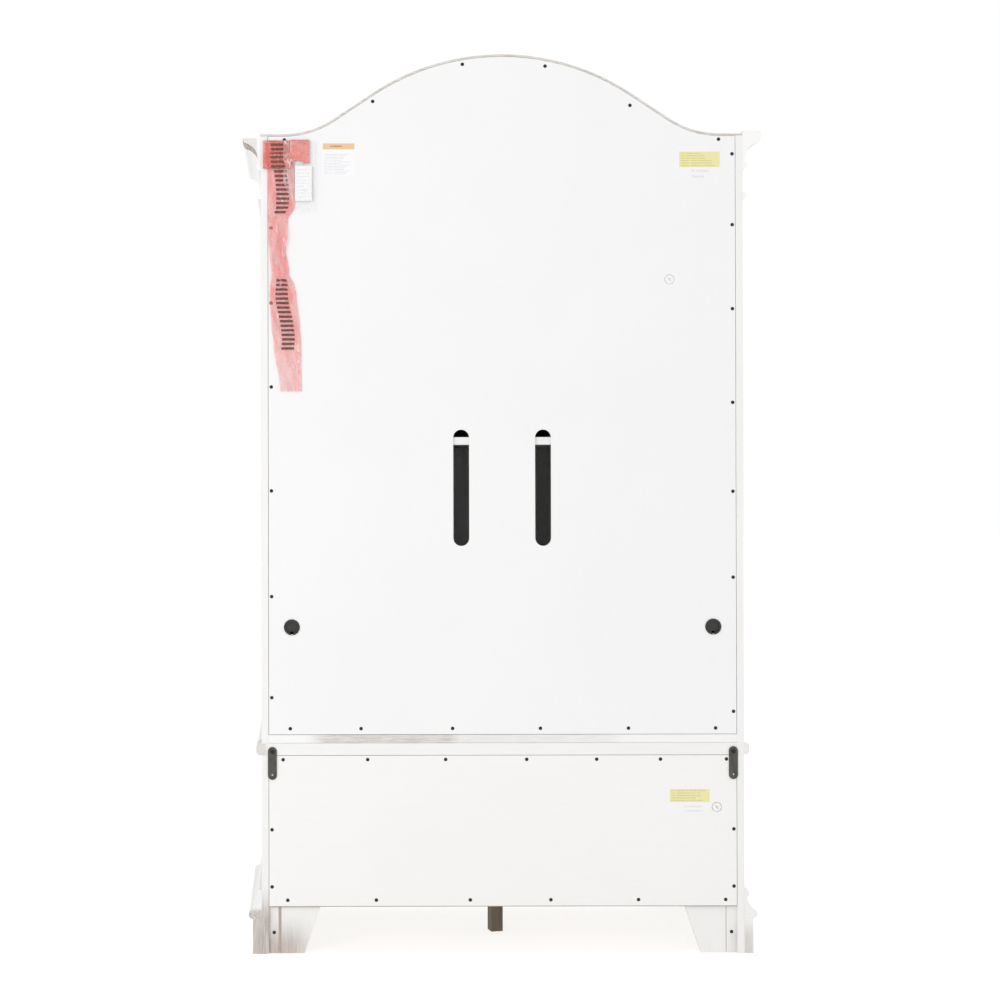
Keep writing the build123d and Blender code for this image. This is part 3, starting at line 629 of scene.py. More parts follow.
BACK_PAINT = Paint(
    "upper_back_paint", paint=WHITE, shade=(0.742, 0.742, 0.742), grain=Grain.UPRIGHT, edge=0.12,
    streak=0.25, rough=0.42, relief=0.00004,
)
LOW_BACK_PAINT = Paint(
    "lower_back_paint", paint=LOW_WHITE, shade=(0.749, 0.741, 0.727), grain=Grain.ACROSS, edge=0.12,
    streak=0.5, rough=0.5, relief=0.00005,
    # The thin dark block along the panel's bottom edge is a painted shadow line.
    rubs_and_shade=(RubAndShade((-0.6, 0.2, 0.10), (0.6, 0.3, 0.1074), 0.85, 0.0006, 0.0),),
)
UPRIGHT_PAINT = Paint("upright_paint", grain=Grain.UPRIGHT)
LEVEL_PAINT = Paint("level_paint", grain=Grain.ACROSS)
BOARD_EDGE_PAINT = Paint(
    "bottom_board_paint", paint=(0.775, 0.772, 0.766), shade=(0.748, 0.742, 0.730), grain=Grain.ACROSS,
    rubs_and_shade=(
        RubAndShade((0.13, 0.24, 0.47), (0.39, 0.27, 0.50), 0.42, 0.06),
        RubAndShade((-0.20, 0.24, 0.47), (0.10, 0.27, 0.50), 0.16, 0.1),
    ),
)
TOP_BOARD_PAINT = Paint(
    "top_board_paint", grain=Grain.ACROSS,
    rubs_and_shade=(
        RubAndShade((0.54, 0.20, 0.44), (0.57, 0.27, 0.48), 0.30, 0.012, 0.3),
        RubAndShade((-0.57, 0.20, 0.44), (-0.55, 0.27, 0.48), 0.08, 0.01),
    ),
)
ROOF_PAINT = Paint(
    "roof_paint", grain=Grain.ACROSS, rubs_and_shade=(RubAndShade((-0.6, 0.2535, 1.80), (0.6, 0.26, 2.05), 0.42, 0.001),)
)
SIDE_PAINT = Paint(
    "base_side_paint", rubs_and_shade=(RubAndShade((0.52, 0.25, -0.02), (0.56, 0.26, 0.07), 0.62, 0.09, 0.4),)
)
# Paint lighter than the case's stands in for the strong light on the crown's returns.
CROWN_PAINT = Paint(
    "crown_paint", paint=(0.795, 0.790, 0.780), shade=(0.765, 0.758, 0.745), grain=Grain.DEEP, edge=0.4,
    rubs_and_shade=(
        # Painted shade: a dark crescent in the cove near the rear end of the +X return.
        RubAndShade((0.555, 0.175, 1.796), (0.590, 0.252, 1.841), 0.85, 0.004, 0.5),
        RubAndShade((-0.60, 0.262, 1.75), (-0.54, 0.27, 1.87), 0.16, 0.003),
        RubAndShade((0.54, 0.262, 1.75), (0.60, 0.27, 1.87), 0.05, 0.003),
    ),
)
FOOT_SEAM = 0.505
FOOT_PAINT = Paint(
    "foot_paint", grain=Grain.UPRIGHT,
    rubs_and_shade=(
        RubAndShade((0.545, 0.2, -0.08), (0.60, 0.28, 0.075), 0.60, 0.04, 0.35),
        RubAndShade((0.490, 0.2, -0.12), (0.60, 0.28, 0.010), 0.62, 0.085, 0.2),
        RubAndShade((0.44, 0.2, -0.10), (0.60, 0.28, 0.002), 0.30, 0.022, 0.3),
        # A thin dark line at the seam between post and bracket, painted shadow in the gap.
        RubAndShade((FOOT_SEAM - 0.004, 0.2, -0.02), (FOOT_SEAM + 0.002, 0.28, 0.11), 0.9, 0.0005, 0.0),
        RubAndShade((-0.60, 0.2, -0.06), (-0.545, 0.28, 0.03), 0.34, 0.05, 0.4),
    ),
)
MOULDING_PAINT = Paint(
    "moulding_paint", grain=Grain.DEEP, edge=0.55,
    # Darker brown at the rear end of the lower bead.
    rubs_and_shade=(RubAndShade((0.54, 0.25, 0.06), (0.60, 0.28, 0.094), 0.55, 0.012),),
)
INSIDE_WOOD = Wood("inside_wood_level", light=(0.60, 0.50, 0.38), dark=(0.46, 0.36, 0.25))
BOX_WOOD = Wood("drawer_box_wood", light=(0.66, 0.54, 0.38), dark=(0.52, 0.39, 0.25), coat=0.15)
LEG_WOOD = Wood(
    "leg_wood", light=(0.125, 0.100, 0.066), dark=(0.070, 0.054, 0.036), grain=Grain.UPRIGHT, rough=0.6
)
BLACK_OXIDE = Metal(
    "black_oxide", base=(0.045, 0.04, 0.036), tarnish=(0.02, 0.018, 0.016), metallic=0.6, rough=0.5
)
STRAP_BLACK = Metal(
    "strap_black", base=(0.072, 0.067, 0.058), tarnish=(0.044, 0.041, 0.036), metallic=0.3, rough=0.48,
    worn=0.6,
)
AGED_BRASS = Metal(
    "aged_brass", base=(0.40, 0.29, 0.15), tarnish=(0.13, 0.09, 0.05), rough=0.38, worn=0.8
)
ZINC = Metal(
    "zinc_plate", base=(0.60, 0.61, 0.62), tarnish=(0.42, 0.43, 0.45), rough=0.32, brushed=Grain.DEEP
)
BRIGHT_TUBE = Metal(
    "bright_tube", base=(0.74, 0.74, 0.75), tarnish=(0.6, 0.6, 0.61), rough=0.16, brushed=Grain.ACROSS
)
NICKEL = Metal("nickel_plate", base=(0.58, 0.57, 0.55), tarnish=(0.42, 0.41, 0.39), rough=0.28)
STAPLE_STEEL = Metal("staple_steel", base=(0.62, 0.62, 0.63), tarnish=(0.4, 0.4, 0.41), rough=0.3)
BLACK_PLASTIC = Plastic("grommet_black")
WHITE_PLASTIC = Plastic("catch_white", base=(0.74, 0.73, 0.69), dust=(0.62, 0.60, 0.55), rough=0.4)


# ---------------------------------------------------------------------------
# Modelling helpers
# ---------------------------------------------------------------------------
def select_only(*pieces: bpy.types.Object) -> None:
    """Leave nothing selected but the given pieces, the first of them active."""
    bpy.ops.object.select_all(action="DESELECT")
    for piece in pieces:
        piece.select_set(True)
    bpy.context.view_layer.objects.active = pieces[0] if pieces else None


def named(name: str) -> bpy.types.Object:
    """The active piece under a new name, for itself and for its mesh."""
    piece = bpy.context.active_object
    piece.name = name
    piece.data.name = name
    return piece


def settle(piece: bpy.types.Object) -> None:
    """Move a piece's place, turn and scale into its mesh."""
    select_only(piece)
    bpy.ops.object.transform_apply(location=True, rotation=True, scale=True)


def block(name: str, centre: Point, size: Point) -> bpy.types.Object:
    """A cuboid of a given size.

    Args:
        name: The piece's name.
        centre: Its middle.
        size: Its length along each axis.

    Returns:
        The cuboid.
    """
    select_only()
    bpy.ops.mesh.primitive_cube_add(size=1, location=centre)
    cuboid = named(name)
    cuboid.scale = size
    settle(cuboid)
    return cuboid


def extrude(step: Point) -> None:
    """Pull the selected faces out by a step."""
    bpy.ops.mesh.extrude_region_move(TRANSFORM_OT_translate={"value": step})


def add_to(
    piece: bpy.types.Object, finish: Finish, body: str = CABINET
) -> bpy.types.Object:
    """Dress a finished piece and let it ride.

    Args:
        piece: The finished piece.
        finish: Its finish.
        body: The body that it rides on.

    Returns:
        The same piece.
    """
    piece.data.materials.clear()
    piece.data.materials.append(finish.material())
    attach(piece, body)
    log.info("built %s in %s on %s", piece.name, finish.name, body)
    return piece


def choose(mesh: bmesh.types.BMesh, test: Any) -> int:
    """Select just the faces that pass a test.

    Args:
        mesh: The edit-mode mesh.
        test: A function of a face.

    Returns:
        How many faces were selected.
    """
    count = 0
    for face in mesh.faces:
        face.select_set(False)
    for face in mesh.faces:
        if test(face):
            face.select_set(True)
            count += 1
    return count


def apply_modifier(piece: bpy.types.Object, kind: str, **settings: Any) -> None:
    """Add a modifier and apply it.

    Args:
        piece: The piece it shapes.
        kind: The modifier's type.
        settings: Its properties.
    """
    select_only(piece)
    modifier = piece.modifiers.new(kind.lower(), kind)
    for key, value in settings.items():
        setattr(modifier, key, value)
    bpy.ops.object.modifier_apply(modifier=modifier.name)


def lay_table(points: Sequence[tuple[float, ...]], at: float, column: int) -> float:
    """Value between the rows of a table of levels, eased from row to row.

    Args:
        points: Rows that start with a falling level.
        at: The level that is asked for.
        column: The column that is read.

    Returns:
        The value at that level.
    """
    if at >= points[0][0]:
        return points[0][column]
    for upper, lower in zip(points, points[1:]):
        if at >= lower[0]:
            share = (upper[0] - at) / (upper[0] - lower[0])
            share = share * share * (3 - 2 * share)
            return upper[column] + (lower[column] - upper[column]) * share
    return points[-1][column]


# ---------------------------------------------------------------------------
# Studio
# ---------------------------------------------------------------------------
@dataclass
class Studio:
    """Camera, floor and soft lights."""

    eye: Point = (0.44, 4.4545, 1.07)
    lens: float = 66.9
    tilt: float = math.radians(0.244)
    roll: float = math.radians(0.106)
    shift: tuple[float, float] = (0.1925, -0.028)
    floor_size: float = 60.0
    floor_glow: float = 0.80
    aim: Point = (0.0, 0.0, 1.0)
    # Name, place, power in watts and width of each soft light
    lights: tuple[tuple[str, Point, float, float], ...] = (
        ("rear_soft_light", (3.2, 4.0, 2.3), 62.0, 1.2),
        ("front_soft_light", (-3.0, -4.6, 4.2), 70.0, 1.8),
    )

    def build(self) -> None:
        """Set up everything that isn't the object."""
        self._camera()
        self._floor()
        self._lights()
        bpy.context.scene.view_settings.view_transform = "Standard"

    def _camera(self) -> None:
        """A camera behind the armoire, with its film shifted to take it all in."""
        lens = bpy.data.cameras.new("rear_camera")
        lens.lens = self.lens
        lens.shift_x, lens.shift_y = self.shift
        camera = bpy.data.objects.new("rear_camera", lens)
        camera.location = self.eye
        camera.rotation_euler = (math.radians(90) + self.tilt, self.roll, math.radians(180))
        bpy.context.collection.objects.link(camera)
        bpy.context.scene.camera = camera

    def _floor(self) -> None:
        """A pale floor that reaches past every view."""
        select_only()
        bpy.ops.mesh.primitive_plane_add(size=self.floor_size)
        floor = named("studio_floor")
        graph = Graph("studio_floor")
        cloud = graph.noise(graph.place, 1.5, 2.0)
        paper = graph.mix(cloud, (0.24, 0.24, 0.24), (0.235, 0.235, 0.235))
        material = graph.finish(
            Base_Color=paper,
            Roughness=0.9,
            Emission_Color=(1.0, 1.0, 1.0),
            Emission_Strength=self.floor_glow,
        )
        floor.data.materials.append(material)

    def _lights(self) -> None:
        """White surroundings, a large soft light behind and another in front."""
        world = bpy.data.worlds.new("white_room")
        world.use_nodes = True
        colour, strength = world.node_tree.nodes["Background"].inputs[:2]
        colour.default_value = (1.0, 1.0, 1.0, 1.0)
        strength.default_value = 1.0
        bpy.context.scene.world = world
        for name, place, power, size in self.lights:
            lamp = bpy.data.lights.new(name, "AREA")
            lamp.energy = power
            lamp.size = size
            light = bpy.data.objects.new(name, lamp)
            light.location = place
            toward = Vector(self.aim) - Vector(place)
            light.rotation_euler = toward.to_track_quat("-Z", "Y").to_euler()
            bpy.context.collection.objects.link(light)


# ---------------------------------------------------------------------------
# The armoire's sub-assemblies
# ---------------------------------------------------------------------------
@dataclass
class UpperCabinet:
    """Case, shelves, rod and crown of the door cabinet."""

    uprights: tuple[str, ...] = ("upper_left_side", "upper_right_side")
    levels: tuple[str, ...] = ("crown_front", "arched_top_rail", "upper_front_frame")

    def dress(self) -> None:
        """Give every piece of the case its finish."""
        BACK_PAINT.dress("upper_back_panel")
        UPRIGHT_PAINT.dress(*self.uprights)
        LEVEL_PAINT.dress(*self.levels)
        BOARD_EDGE_PAINT.dress("upper_bottom_board")
        CROWN_PAINT.dress("crown_returns", "neck_bead")
        LEVEL_PAINT.dress("tv_shelf", "adjustable_shelf")
        INSIDE_WOOD.dress("upper_rear_rails")
        FOOT_PAINT.dress("rear_corner_posts")
        ROOF_PAINT.dress("roof_panel")
        BRIGHT_TUBE.dress("garment_rod")
        NICKEL.dress("shelf_pins")
        BLACK_PLASTIC.dress("cord_grommets")
        WHITE_PLASTIC.dress("door_catches")
        AGED_BRASS.dress("frame_hinge_leaves", "hinge_pins")


@dataclass
class Doors:
    """The two doors with their hinges, knobs and strikes."""

    sides: tuple[str, ...] = ("left", "right")

    def dress(self) -> None:
        """Give both doors their finishes."""
        for side in self.sides:
            UPRIGHT_PAINT.dress(f"{side}_door_frame", f"{side}_door_panels")
            AGED_BRASS.dress(f"{side}_door_hinge_leaves", f"{side}_door_knob")
            ZINC.dress(f"{side}_door_strike")


@dataclass
class DrawerBase:
    """Case of the drawer base with its mouldings and feet."""

    uprights: tuple[str, ...] = ("base_stiles",)

    def dress(self) -> None:
        """Give the base its finishes."""
        LOW_BACK_PAINT.dress("base_back_panel")
        UPRIGHT_PAINT.dress(*self.uprights)
        SIDE_PAINT.dress("base_left_side", "base_right_side")
        LEVEL_PAINT.dress("base_rails", "base_moulding_front", "plinth_front")
        TOP_BOARD_PAINT.dress("base_top_board")
        MOULDING_PAINT.dress("base_moulding_sides")
        FOOT_PAINT.dress("plinth_sides", "rear_foot_brackets")
        INSIDE_WOOD.dress("base_bottom_board", "drawer_divider")
        LEG_WOOD.dress("centre_leg")
        ZINC.dress("slide_case_members")


@dataclass
class Drawers:
    """The two drawers with their slide members and knobs."""

    sides: tuple[str, ...] = ("left", "right")

    def dress(self) -> None:
        """Give both drawers their finishes."""
        for side in self.sides:
            LEVEL_PAINT.dress(f"{side}_drawer_front")
            BOX_WOOD.dress(f"{side}_drawer_box")
            AGED_BRASS.dress(f"{side}_drawer_knobs")
            ZINC.dress(f"{side}_slide_drawer_members", f"{side}_slide_mid_members")


@dataclass
class TieStraps:
    """The two black straps that tie the halves together."""

    straps: tuple[str, ...] = ("left_tie_strap", "right_tie_strap")

    def dress(self) -> None:
        """Give the straps their finish."""
        STRAP_BLACK.dress(*self.straps)


@dataclass
class BackScrews:
    """Cross-recessed screws in place of the plain ones of one frame node."""

    node: str
    facets: int = 20
    recess_depth: float = 0.0018
    recess_wide: float = 0.0011
    recess_share: float = 0.62
    shank_share: float = 0.5
    pan_from: float = 0.0045
    full_radius: float = 0.0038
    pan_thick: float = 0.7
    flat_thick: float = 0.55
    pan_bevel: float = 0.34
    flat_bevel: float = 0.07
    pan_shank: float = 1.1
    point_length: float = 0.003
    point_share: float = 0.12
    turn_step: float = math.radians(37.0)

    def _places(self) -> list[tuple[Vector, float, float]]:
        """Rear centre, head radius and length of each screw in the node."""
        mesh = bmesh.new()
        mesh.from_mesh(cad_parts[self.node].data)
        bmesh.ops.remove_doubles(mesh, verts=mesh.verts, dist=1e-6)
        unseen = set(mesh.verts)
        found = []
        while unseen:
            group, edge = set(), [unseen.pop()]
            while edge:
                vert = edge.pop()
                group.add(vert)
                for link in vert.link_edges:
                    other = link.other_vert(vert)
                    if other in unseen:
                        unseen.discard(other)
                        edge.append(other)
            low = Vector([min(v.co[i] for v in group) for i in range(3)])
            high = Vector([max(v.co[i] for v in group) for i in range(3)])
            centre = Vector(((low.x + high.x) / 2, high.y, (low.z + high.z) / 2))
            found.append((centre, (high.x - low.x) / 2, high.y - low.y))
        mesh.free()
        return sorted(found, key=lambda item: (round(item[0].z, 4), round(item[0].x, 4)))

    def _screw(self, name: str, radius: float, length: float, kind: Head) -> bpy.types.Object:
        """One screw at the origin, its head's top at zero and its shank toward the front.

        Args:
            name: The piece's name.
            radius: Radius of the head.
            length: Length over all.
            kind: Shape of the head.

        Returns:
            The screw.
        """
        pan = kind is Head.PAN
        thick = radius * (self.pan_thick if pan else self.flat_thick)
        select_only()
        bpy.ops.mesh.primitive_cylinder_add(
            vertices=self.facets,
            radius=radius,
            depth=thick,
            location=(0, -thick / 2, 0),
            rotation=(math.radians(90), 0, 0),
        )
        screw = named(name)
        settle(screw)
        bpy.ops.object.mode_set(mode="EDIT")
        bpy.ops.mesh.select_mode(type="FACE")
        mesh = bmesh.from_edit_mesh(screw.data)
        choose(mesh, lambda face: face.normal.y < -0.9)
        shank = self.shank_share / (self.pan_shank if pan else 1.0)
        bpy.ops.transform.resize(value=(1.0 if pan else shank,) * 3, center_override=(0, -thick, 0))
        if pan:
            bpy.ops.mesh.inset(thickness=radius * (1 - shank))
        for step in (length - thick - self.point_length, self.point_length):
            extrude((0, -step, 0))
        bpy.ops.transform.resize(
            value=(self.point_share, 1.0, self.point_share), center_override=(0, -length, 0)
        )
        mesh = bmesh.from_edit_mesh(screw.data)
        choose(mesh, lambda face: face.normal.y > 0.9)
        bevel = self.pan_bevel if pan else self.flat_bevel
        bpy.ops.mesh.bevel(offset=radius * bevel, segments=3 if pan else 1, affect="EDGES")
        bpy.ops.mesh.select_all(action="SELECT")
        bpy.ops.mesh.normals_make_consistent(inside=False)
        bpy.ops.object.mode_set(mode="OBJECT")
        cutter = self._recess(radius)
        apply_modifier(screw, "BOOLEAN", operation="DIFFERENCE", object=cutter, solver="EXACT")
        bpy.data.objects.remove(cutter, do_unlink=True)
        return screw

    def _recess(self, radius: float) -> bpy.types.Object:
        """A tapering cross that is cut from a head."""
        reach = radius * self.recess_share
        wide = self.recess_wide * radius / self.full_radius
        cross = block("recess_cutter", (0, 0, 0), (wide, 2 * self.recess_depth, wide))
        bpy.ops.object.mode_set(mode="EDIT")
        bpy.ops.mesh.select_mode(type="FACE")
        for axis in (0, 2):
            for way in (-1, 1):
                mesh = bmesh.from_edit_mesh(cross.data)
                choose(
                    mesh,
                    lambda face: face.normal[axis] * way > 0.9
                    and abs(face.calc_center_median()[2 - axis]) < wide / 4,
                )
                step = [0.0, 0.0, 0.0]
                step[axis] = way * (reach - wide / 2)
                extrude(step)
                centre = (0, self.recess_depth, 0)
                bpy.ops.transform.resize(value=(0.8, 0.6, 0.8), center_override=centre)
        bpy.ops.mesh.select_all(action="SELECT")
        bpy.ops.mesh.normals_make_consistent(inside=False)
        bpy.ops.object.mode_set(mode="OBJECT")
        return cross

    def build(self) -> bpy.types.Object:
        """Make one screw of each size, copy it to every place, and join the copies."""
        models: dict[tuple[int, int], bpy.types.Object] = {}
        copies = []
        for index, (place, radius, length) in enumerate(self._places()):
            kind = Head.PAN if radius > self.pan_from else Head.FLAT
            key = (round(radius * 1e4), round(length * 1e4))
            if key not in models:
                models[key] = self._screw(f"{self.node}_model_{len(models)}", radius, length, kind)
            copy = models[key].copy()
            copy.data = models[key].data.copy()
            bpy.context.collection.objects.link(copy)
            copy.rotation_euler = (0, self.turn_step * index, 0)
            copy.location = place
            settle(copy)
            copies.append(copy)
        for model in models.values():
            bpy.data.objects.remove(model, do_unlink=True)
        select_only(*copies)
        bpy.ops.object.join()
        screws = named(f"{self.node}_crossed")
        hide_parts(self.node)
        return add_to(screws, BLACK_OXIDE)


@dataclass
class PaperLabel:
    """A paper label stuck flat on a back panel."""

    name: str
    low: tuple[float, float]
    high: tuple[float, float]
    finish: Paper
    thick: float = 0.00018
    round_by: float = 0.002

    def build(self, rear: float) -> bpy.types.Object:
        """Build the label on the plane at a given depth.

        Args:
            rear: Depth of the panel's rear face.

        Returns:
            The label.
        """
        (low_x, low_z), (high_x, high_z) = self.low, self.high
        middle = ((low_x + high_x) / 2, rear + self.thick / 2, (low_z + high_z) / 2)
        label = block(self.name, middle, (high_x - low_x, self.thick, high_z - low_z))
        bpy.ops.object.mode_set(mode="EDIT")
        bpy.ops.mesh.select_mode(type="EDGE")
        mesh = bmesh.from_edit_mesh(label.data)
        for edge in mesh.edges:
            edge.select_set(abs(edge.verts[0].co.y - edge.verts[1].co.y) > self.thick / 2)
        bpy.ops.mesh.bevel(offset=self.round_by, segments=4, affect="EDGES")
        bpy.ops.object.mode_set(mode="OBJECT")
        return add_to(label, self.finish)


@dataclass
class InspectionStamp:
    """A faint inked ring with a tick inside it."""

    name: str
    centre: tuple[float, float]
    finish: Ink
    radius: float = 0.0105
    line: float = 0.0007
    thick: float = 0.00012
    # Turn in degrees and length of the tick's two strokes
    tick: tuple[tuple[float, float], ...] = ((35.0, 0.011), (-50.0, 0.006))

    def build(self, rear: float) -> bpy.types.Object:
        """Build the stamp on the plane at a given depth.

        Args:
            rear: Depth of the panel's rear face.

        Returns:
            The stamp.
        """
        x, z = self.centre
        select_only()
        bpy.ops.mesh.primitive_torus_add(
            major_segments=40, minor_segments=8, major_radius=self.radius, minor_radius=self.line,
            location=(x, rear, z), rotation=(math.radians(90), 0, 0),
        )
        stamp = named(self.name)
        bars = []
        for turn, length in self.tick:
            select_only()
            bpy.ops.mesh.primitive_cylinder_add(
                vertices=10,
                radius=self.line,
                depth=length,
                location=(x, rear, z),
                rotation=(0, math.radians(turn), 0),
            )
            bars.append(bpy.context.active_object)
        select_only(stamp, *bars)
        bpy.ops.object.join()
        settle(stamp)
        bpy.ops.object.mode_set(mode="EDIT")
        bpy.ops.mesh.select_all(action="SELECT")
        bpy.ops.transform.resize(value=(1.0, self.thick / self.line, 1.0), center_override=(x, rear, z))
        bpy.ops.object.mode_set(mode="OBJECT")
        return add_to(stamp, self.finish)


@dataclass
class HardwareBag:
    """A film bag of spare hardware: a folded head, a twisted tail, and a leaflet in a clear pouch."""

    node: str = "hardware_bag"
    top: float = 1.8385
    # Level, outer edge, inner edge and depth of pleats down the tail
    tail: tuple[tuple[float, float, float, float], ...] = (
        (1.8385, 0.5350, 0.4700, 0.0004),
        (1.7725, 0.5290, 0.4680, 0.0008),
        (1.6890, 0.5285, 0.4675, 0.0012),
        (1.6580, 0.5280, 0.4830, 0.0030),
        (1.6280, 0.5275, 0.4835, 0.0042),
        (1.5884, 0.5258, 0.4875, 0.0050),
        (1.5354, 0.5200, 0.4815, 0.0046),
        (1.5100, 0.5235, 0.4690, 0.0018),
        (1.4914, 0.5250, 0.4650, 0.0010),
        (1.4180, 0.5205, 0.4570, 0.0008),
        (1.3820, 0.5160, 0.4540, 0.0006),
        (1.2700, 0.5010, 0.4525, 0.0005),
    )
    fold_drop: float = 0.0665
    fold_return: float = 0.036
    fold_radius: float = 0.0011
    flat_width: float = 0.063
    columns: int = 30
    row_step: float = 0.0035
    back_gap: float = 0.0030
    least_gap: float = 0.0009
    film_thick: float = 0.00012
    swing: float = 46.0
    waves: float = 1.6
    fold_outer: float = 0.5395
    fold_inner: float = 0.4790
    fold_inset: float = 0.002
    fold_ease: float = 0.006
    flat_pleat: float = 0.0006
    side_outer: float = 0.4780
    side_inner: float = 0.4345
    side_drop: float = 0.0500
    side_rows: int = 34
    side_columns: int = 14
    side_layer: float = 0.0024
    pouch_thick: float = 0.0001
    pouch_outer: float = 0.4930
    pouch_inner: float = 0.4225
    pouch_high: float = 1.8365
    pouch_low: float = 1.6760
    pouch_drawn_from: float = 1.742
    pouch_rows: int = 60
    pouch_columns: int = 28
    leaflet_outer: float = 0.4670
    leaflet_inner: float = 0.4290
    leaflet_high: float = 1.7790
    leaflet_low: float = 1.7000
    leaflet_thick: float = 0.0006
    staple_places: tuple[float, ...] = (0.5305, 0.4460)
    staple_level: float = 1.8325
    staple_wire: float = 0.0006
    staple_width: float = 0.0105
    staple_proud: float = 0.0085
    staple_bite: float = 0.002

    def build(self, rear: float) -> None:
        """Build the bag's pieces behind the plane at a given depth.

        Args:
            rear: Depth of the panel's rear face.
        """
        tail = self._tail(rear + self.back_gap)
        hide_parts(self.node)
        side = self._side_fold(rear + self.back_gap + 0.0008)
        pouch = self._pouch(rear + self.back_gap + 0.0052)
        leaflet = self._leaflet(rear + self.back_gap + 0.0034)
        for index, x in enumerate(self.staple_places):
            self._staple(f"bag_staple_{index}", x, rear)
        log.info("bag of %s, %s, %s, %s", tail.name, side.name, pouch.name, leaflet.name)

    def _sheet(
        self, name: str, rows: Sequence[tuple[Sequence[Point], float]], thick: float
    ) -> bpy.types.Object:
        """A sheet through rows of points.

        Args:
            name: The piece's name.
            rows: For each row, its points across and its distance along the film.
            thick: Thickness of the film.

        Returns:
            The sheet, with its map named film.
        """
        select_only()
        across = len(rows[0][0])
        bpy.ops.mesh.primitive_grid_add(
            x_subdivisions=across - 1, y_subdivisions=len(rows) - 1, size=1, calc_uvs=True
        )
        sheet = named(name)
        sheet.data.uv_layers[0].name = "film"
        verts = sheet.data.vertices
        grid = sorted(verts, key=lambda vert: (round(vert.co.y, 5), round(vert.co.x, 5)))
        order = [vert.index for vert in grid]
        spot = {}
        for number, index in enumerate(order):
            row, column = divmod(number, across)
            verts[index].co = rows[row][0][column]
            spot[index] = (column / (across - 1), rows[row][1])
        for loop in sheet.data.loops:
            sheet.data.uv_layers["film"].data[loop.index].uv = spot[loop.vertex_index]
        settle(sheet)
        apply_modifier(sheet, "SOLIDIFY", thickness=thick, offset=0.0)
        bpy.ops.object.shade_smooth()
        return sheet

    def _wrinkle(self, x: float, z: float, seed: float) -> float:
        """Small crumple of the film at a place, from -1 to 1."""
        coarse = noise.noise(Vector((x * 42.0, seed, z * 21.0)))
        fine = noise.noise(Vector((x * 130.0 + seed, 3.0, z * 60.0)))
        return 0.7 * coarse + 0.3 * fine

    def _tail(self, level: float) -> bpy.types.Object:
        """The red film: up the tail, over the fold at the top, down in front and up again."""
        rise = self.top - self.tail[-1][0]
        total = rise + self.fold_drop + self.fold_return
        count = round(total / self.row_step)
        rows = []
        for number in range(count + 1):
            along = total * number / count
            if along <= rise:
                z, layer = self.tail[-1][0] + along, 0
            elif along <= rise + self.fold_drop:
                z, layer = self.top - (along - rise), 1
            else:
                z, layer = self.top - self.fold_drop + (along - rise - self.fold_drop), 2
            near = min(1.0, abs(along - rise) / self.fold_ease) if layer < 2 else 1.0
            outer, inner = (lay_table(self.tail, z, column) for column in (1, 2))
            if layer:
                outer, inner = self.fold_outer, self.fold_inner - self.fold_inset * layer
            pleat = self.flat_pleat if layer else lay_table(self.tail, z, 3)
            swing = (self.top - z) * self.swing
            points = []
            for column in range(self.columns + 1):
                across = column / self.columns
                x = outer + (inner - outer) * across
                wave = math.sin(across * 2 * math.pi * self.waves + swing) * pleat
                lift = layer * 2 * self.fold_radius * near + abs(wave) * 0.6 + wave * 0.4
                ripple = self._wrinkle(x, z, 5.0 + layer) * (0.0007 + 0.18 * pleat)
                x += 0.25 * wave * math.cos(swing)
                points.append((x, max(level - self.back_gap + self.least_gap, level + lift + ripple), z))
            rows.append((points, along))
        tail = self._sheet("bag_red_film", rows, self.film_thick)
        inked = ((0.092, 0.256), (0.400, 0.562), (rise + 0.006, total))
        finish = Film("red_film", inked=inked, deep_from=rise, fade_to=0.24)
        return add_to(tail, finish)

    def _side_fold(self, level: float) -> bpy.types.Object:
        """The red corner of the bag that is folded beside the head, in two layers."""
        outer, inner, drop = self.side_outer, self.side_inner, self.side_drop
        rows = []
        for number in range(self.side_rows + 1):
            along = 2 * drop * number / self.side_rows
            layer = 0 if along <= drop else 1
            z = self.top - (along - drop) if layer else self.top - drop + along
            points = []
            for column in range(self.side_columns + 1):
                across = column / self.side_columns
                x = outer + (inner - outer) * across
                lift = layer * self.side_layer + self._wrinkle(x, z, 11.0 + layer) * 0.0011
                torn = noise.noise(Vector((x * 160.0, 7.0, layer)))
                hem = 0.003 * math.sin(across * 5.0) + 0.012 * torn
                low = hem * (1 - (z - self.top + drop) / drop)
                points.append((x, level + lift, z + low))
            rows.append((points, along))
        side = self._sheet("bag_side_fold", rows, self.film_thick)
        # The whole fold takes the darker red: partly layered film, partly painted shade.
        finish = Film(
            "red_fold_film", deep_from=0.0, clear=0.62, fold_size=(0.03, 0.007, 1.0), lean=0.1, sparkle=0.6
        )
        return add_to(side, finish)

    def _pouch(self, level: float) -> bpy.types.Object:
        """The clear pouch in front of the leaflet, crumpled along its inner side."""
        outer, inner, high, low = self.pouch_outer, self.pouch_inner, self.pouch_high, self.pouch_low
        rows = []
        for number in range(self.pouch_rows + 1):
            z = low + (high - low) * number / self.pouch_rows
            drawn = max(0.0, (self.pouch_drawn_from - z) / 0.066) * 0.028
            points = []
            for column in range(self.pouch_columns + 1):
                across = column / self.pouch_columns
                x = outer - drawn + (inner - outer + drawn) * across
                crumple = 0.0009 + 0.0030 * max(0.0, 1 - across * 2.6)
                points.append((x, level + self._wrinkle(x * 1.6, z, 23.0) * crumple, z))
            rows.append((points, z - low))
        pouch = self._sheet("bag_clear_pouch", rows, self.pouch_thick)
        # Strong painted highlights where the pouch is crumpled.
        finish = Film(
            "clear_film", film=(0.9, 0.9, 0.91), deep=(0.9, 0.9, 0.91), clear=0.06,
            fold_size=(0.010, 0.03, 1.0), sparkle=2.6, sparkle_to=0.42, relief=0.0004,
        )
        return add_to(pouch, finish)

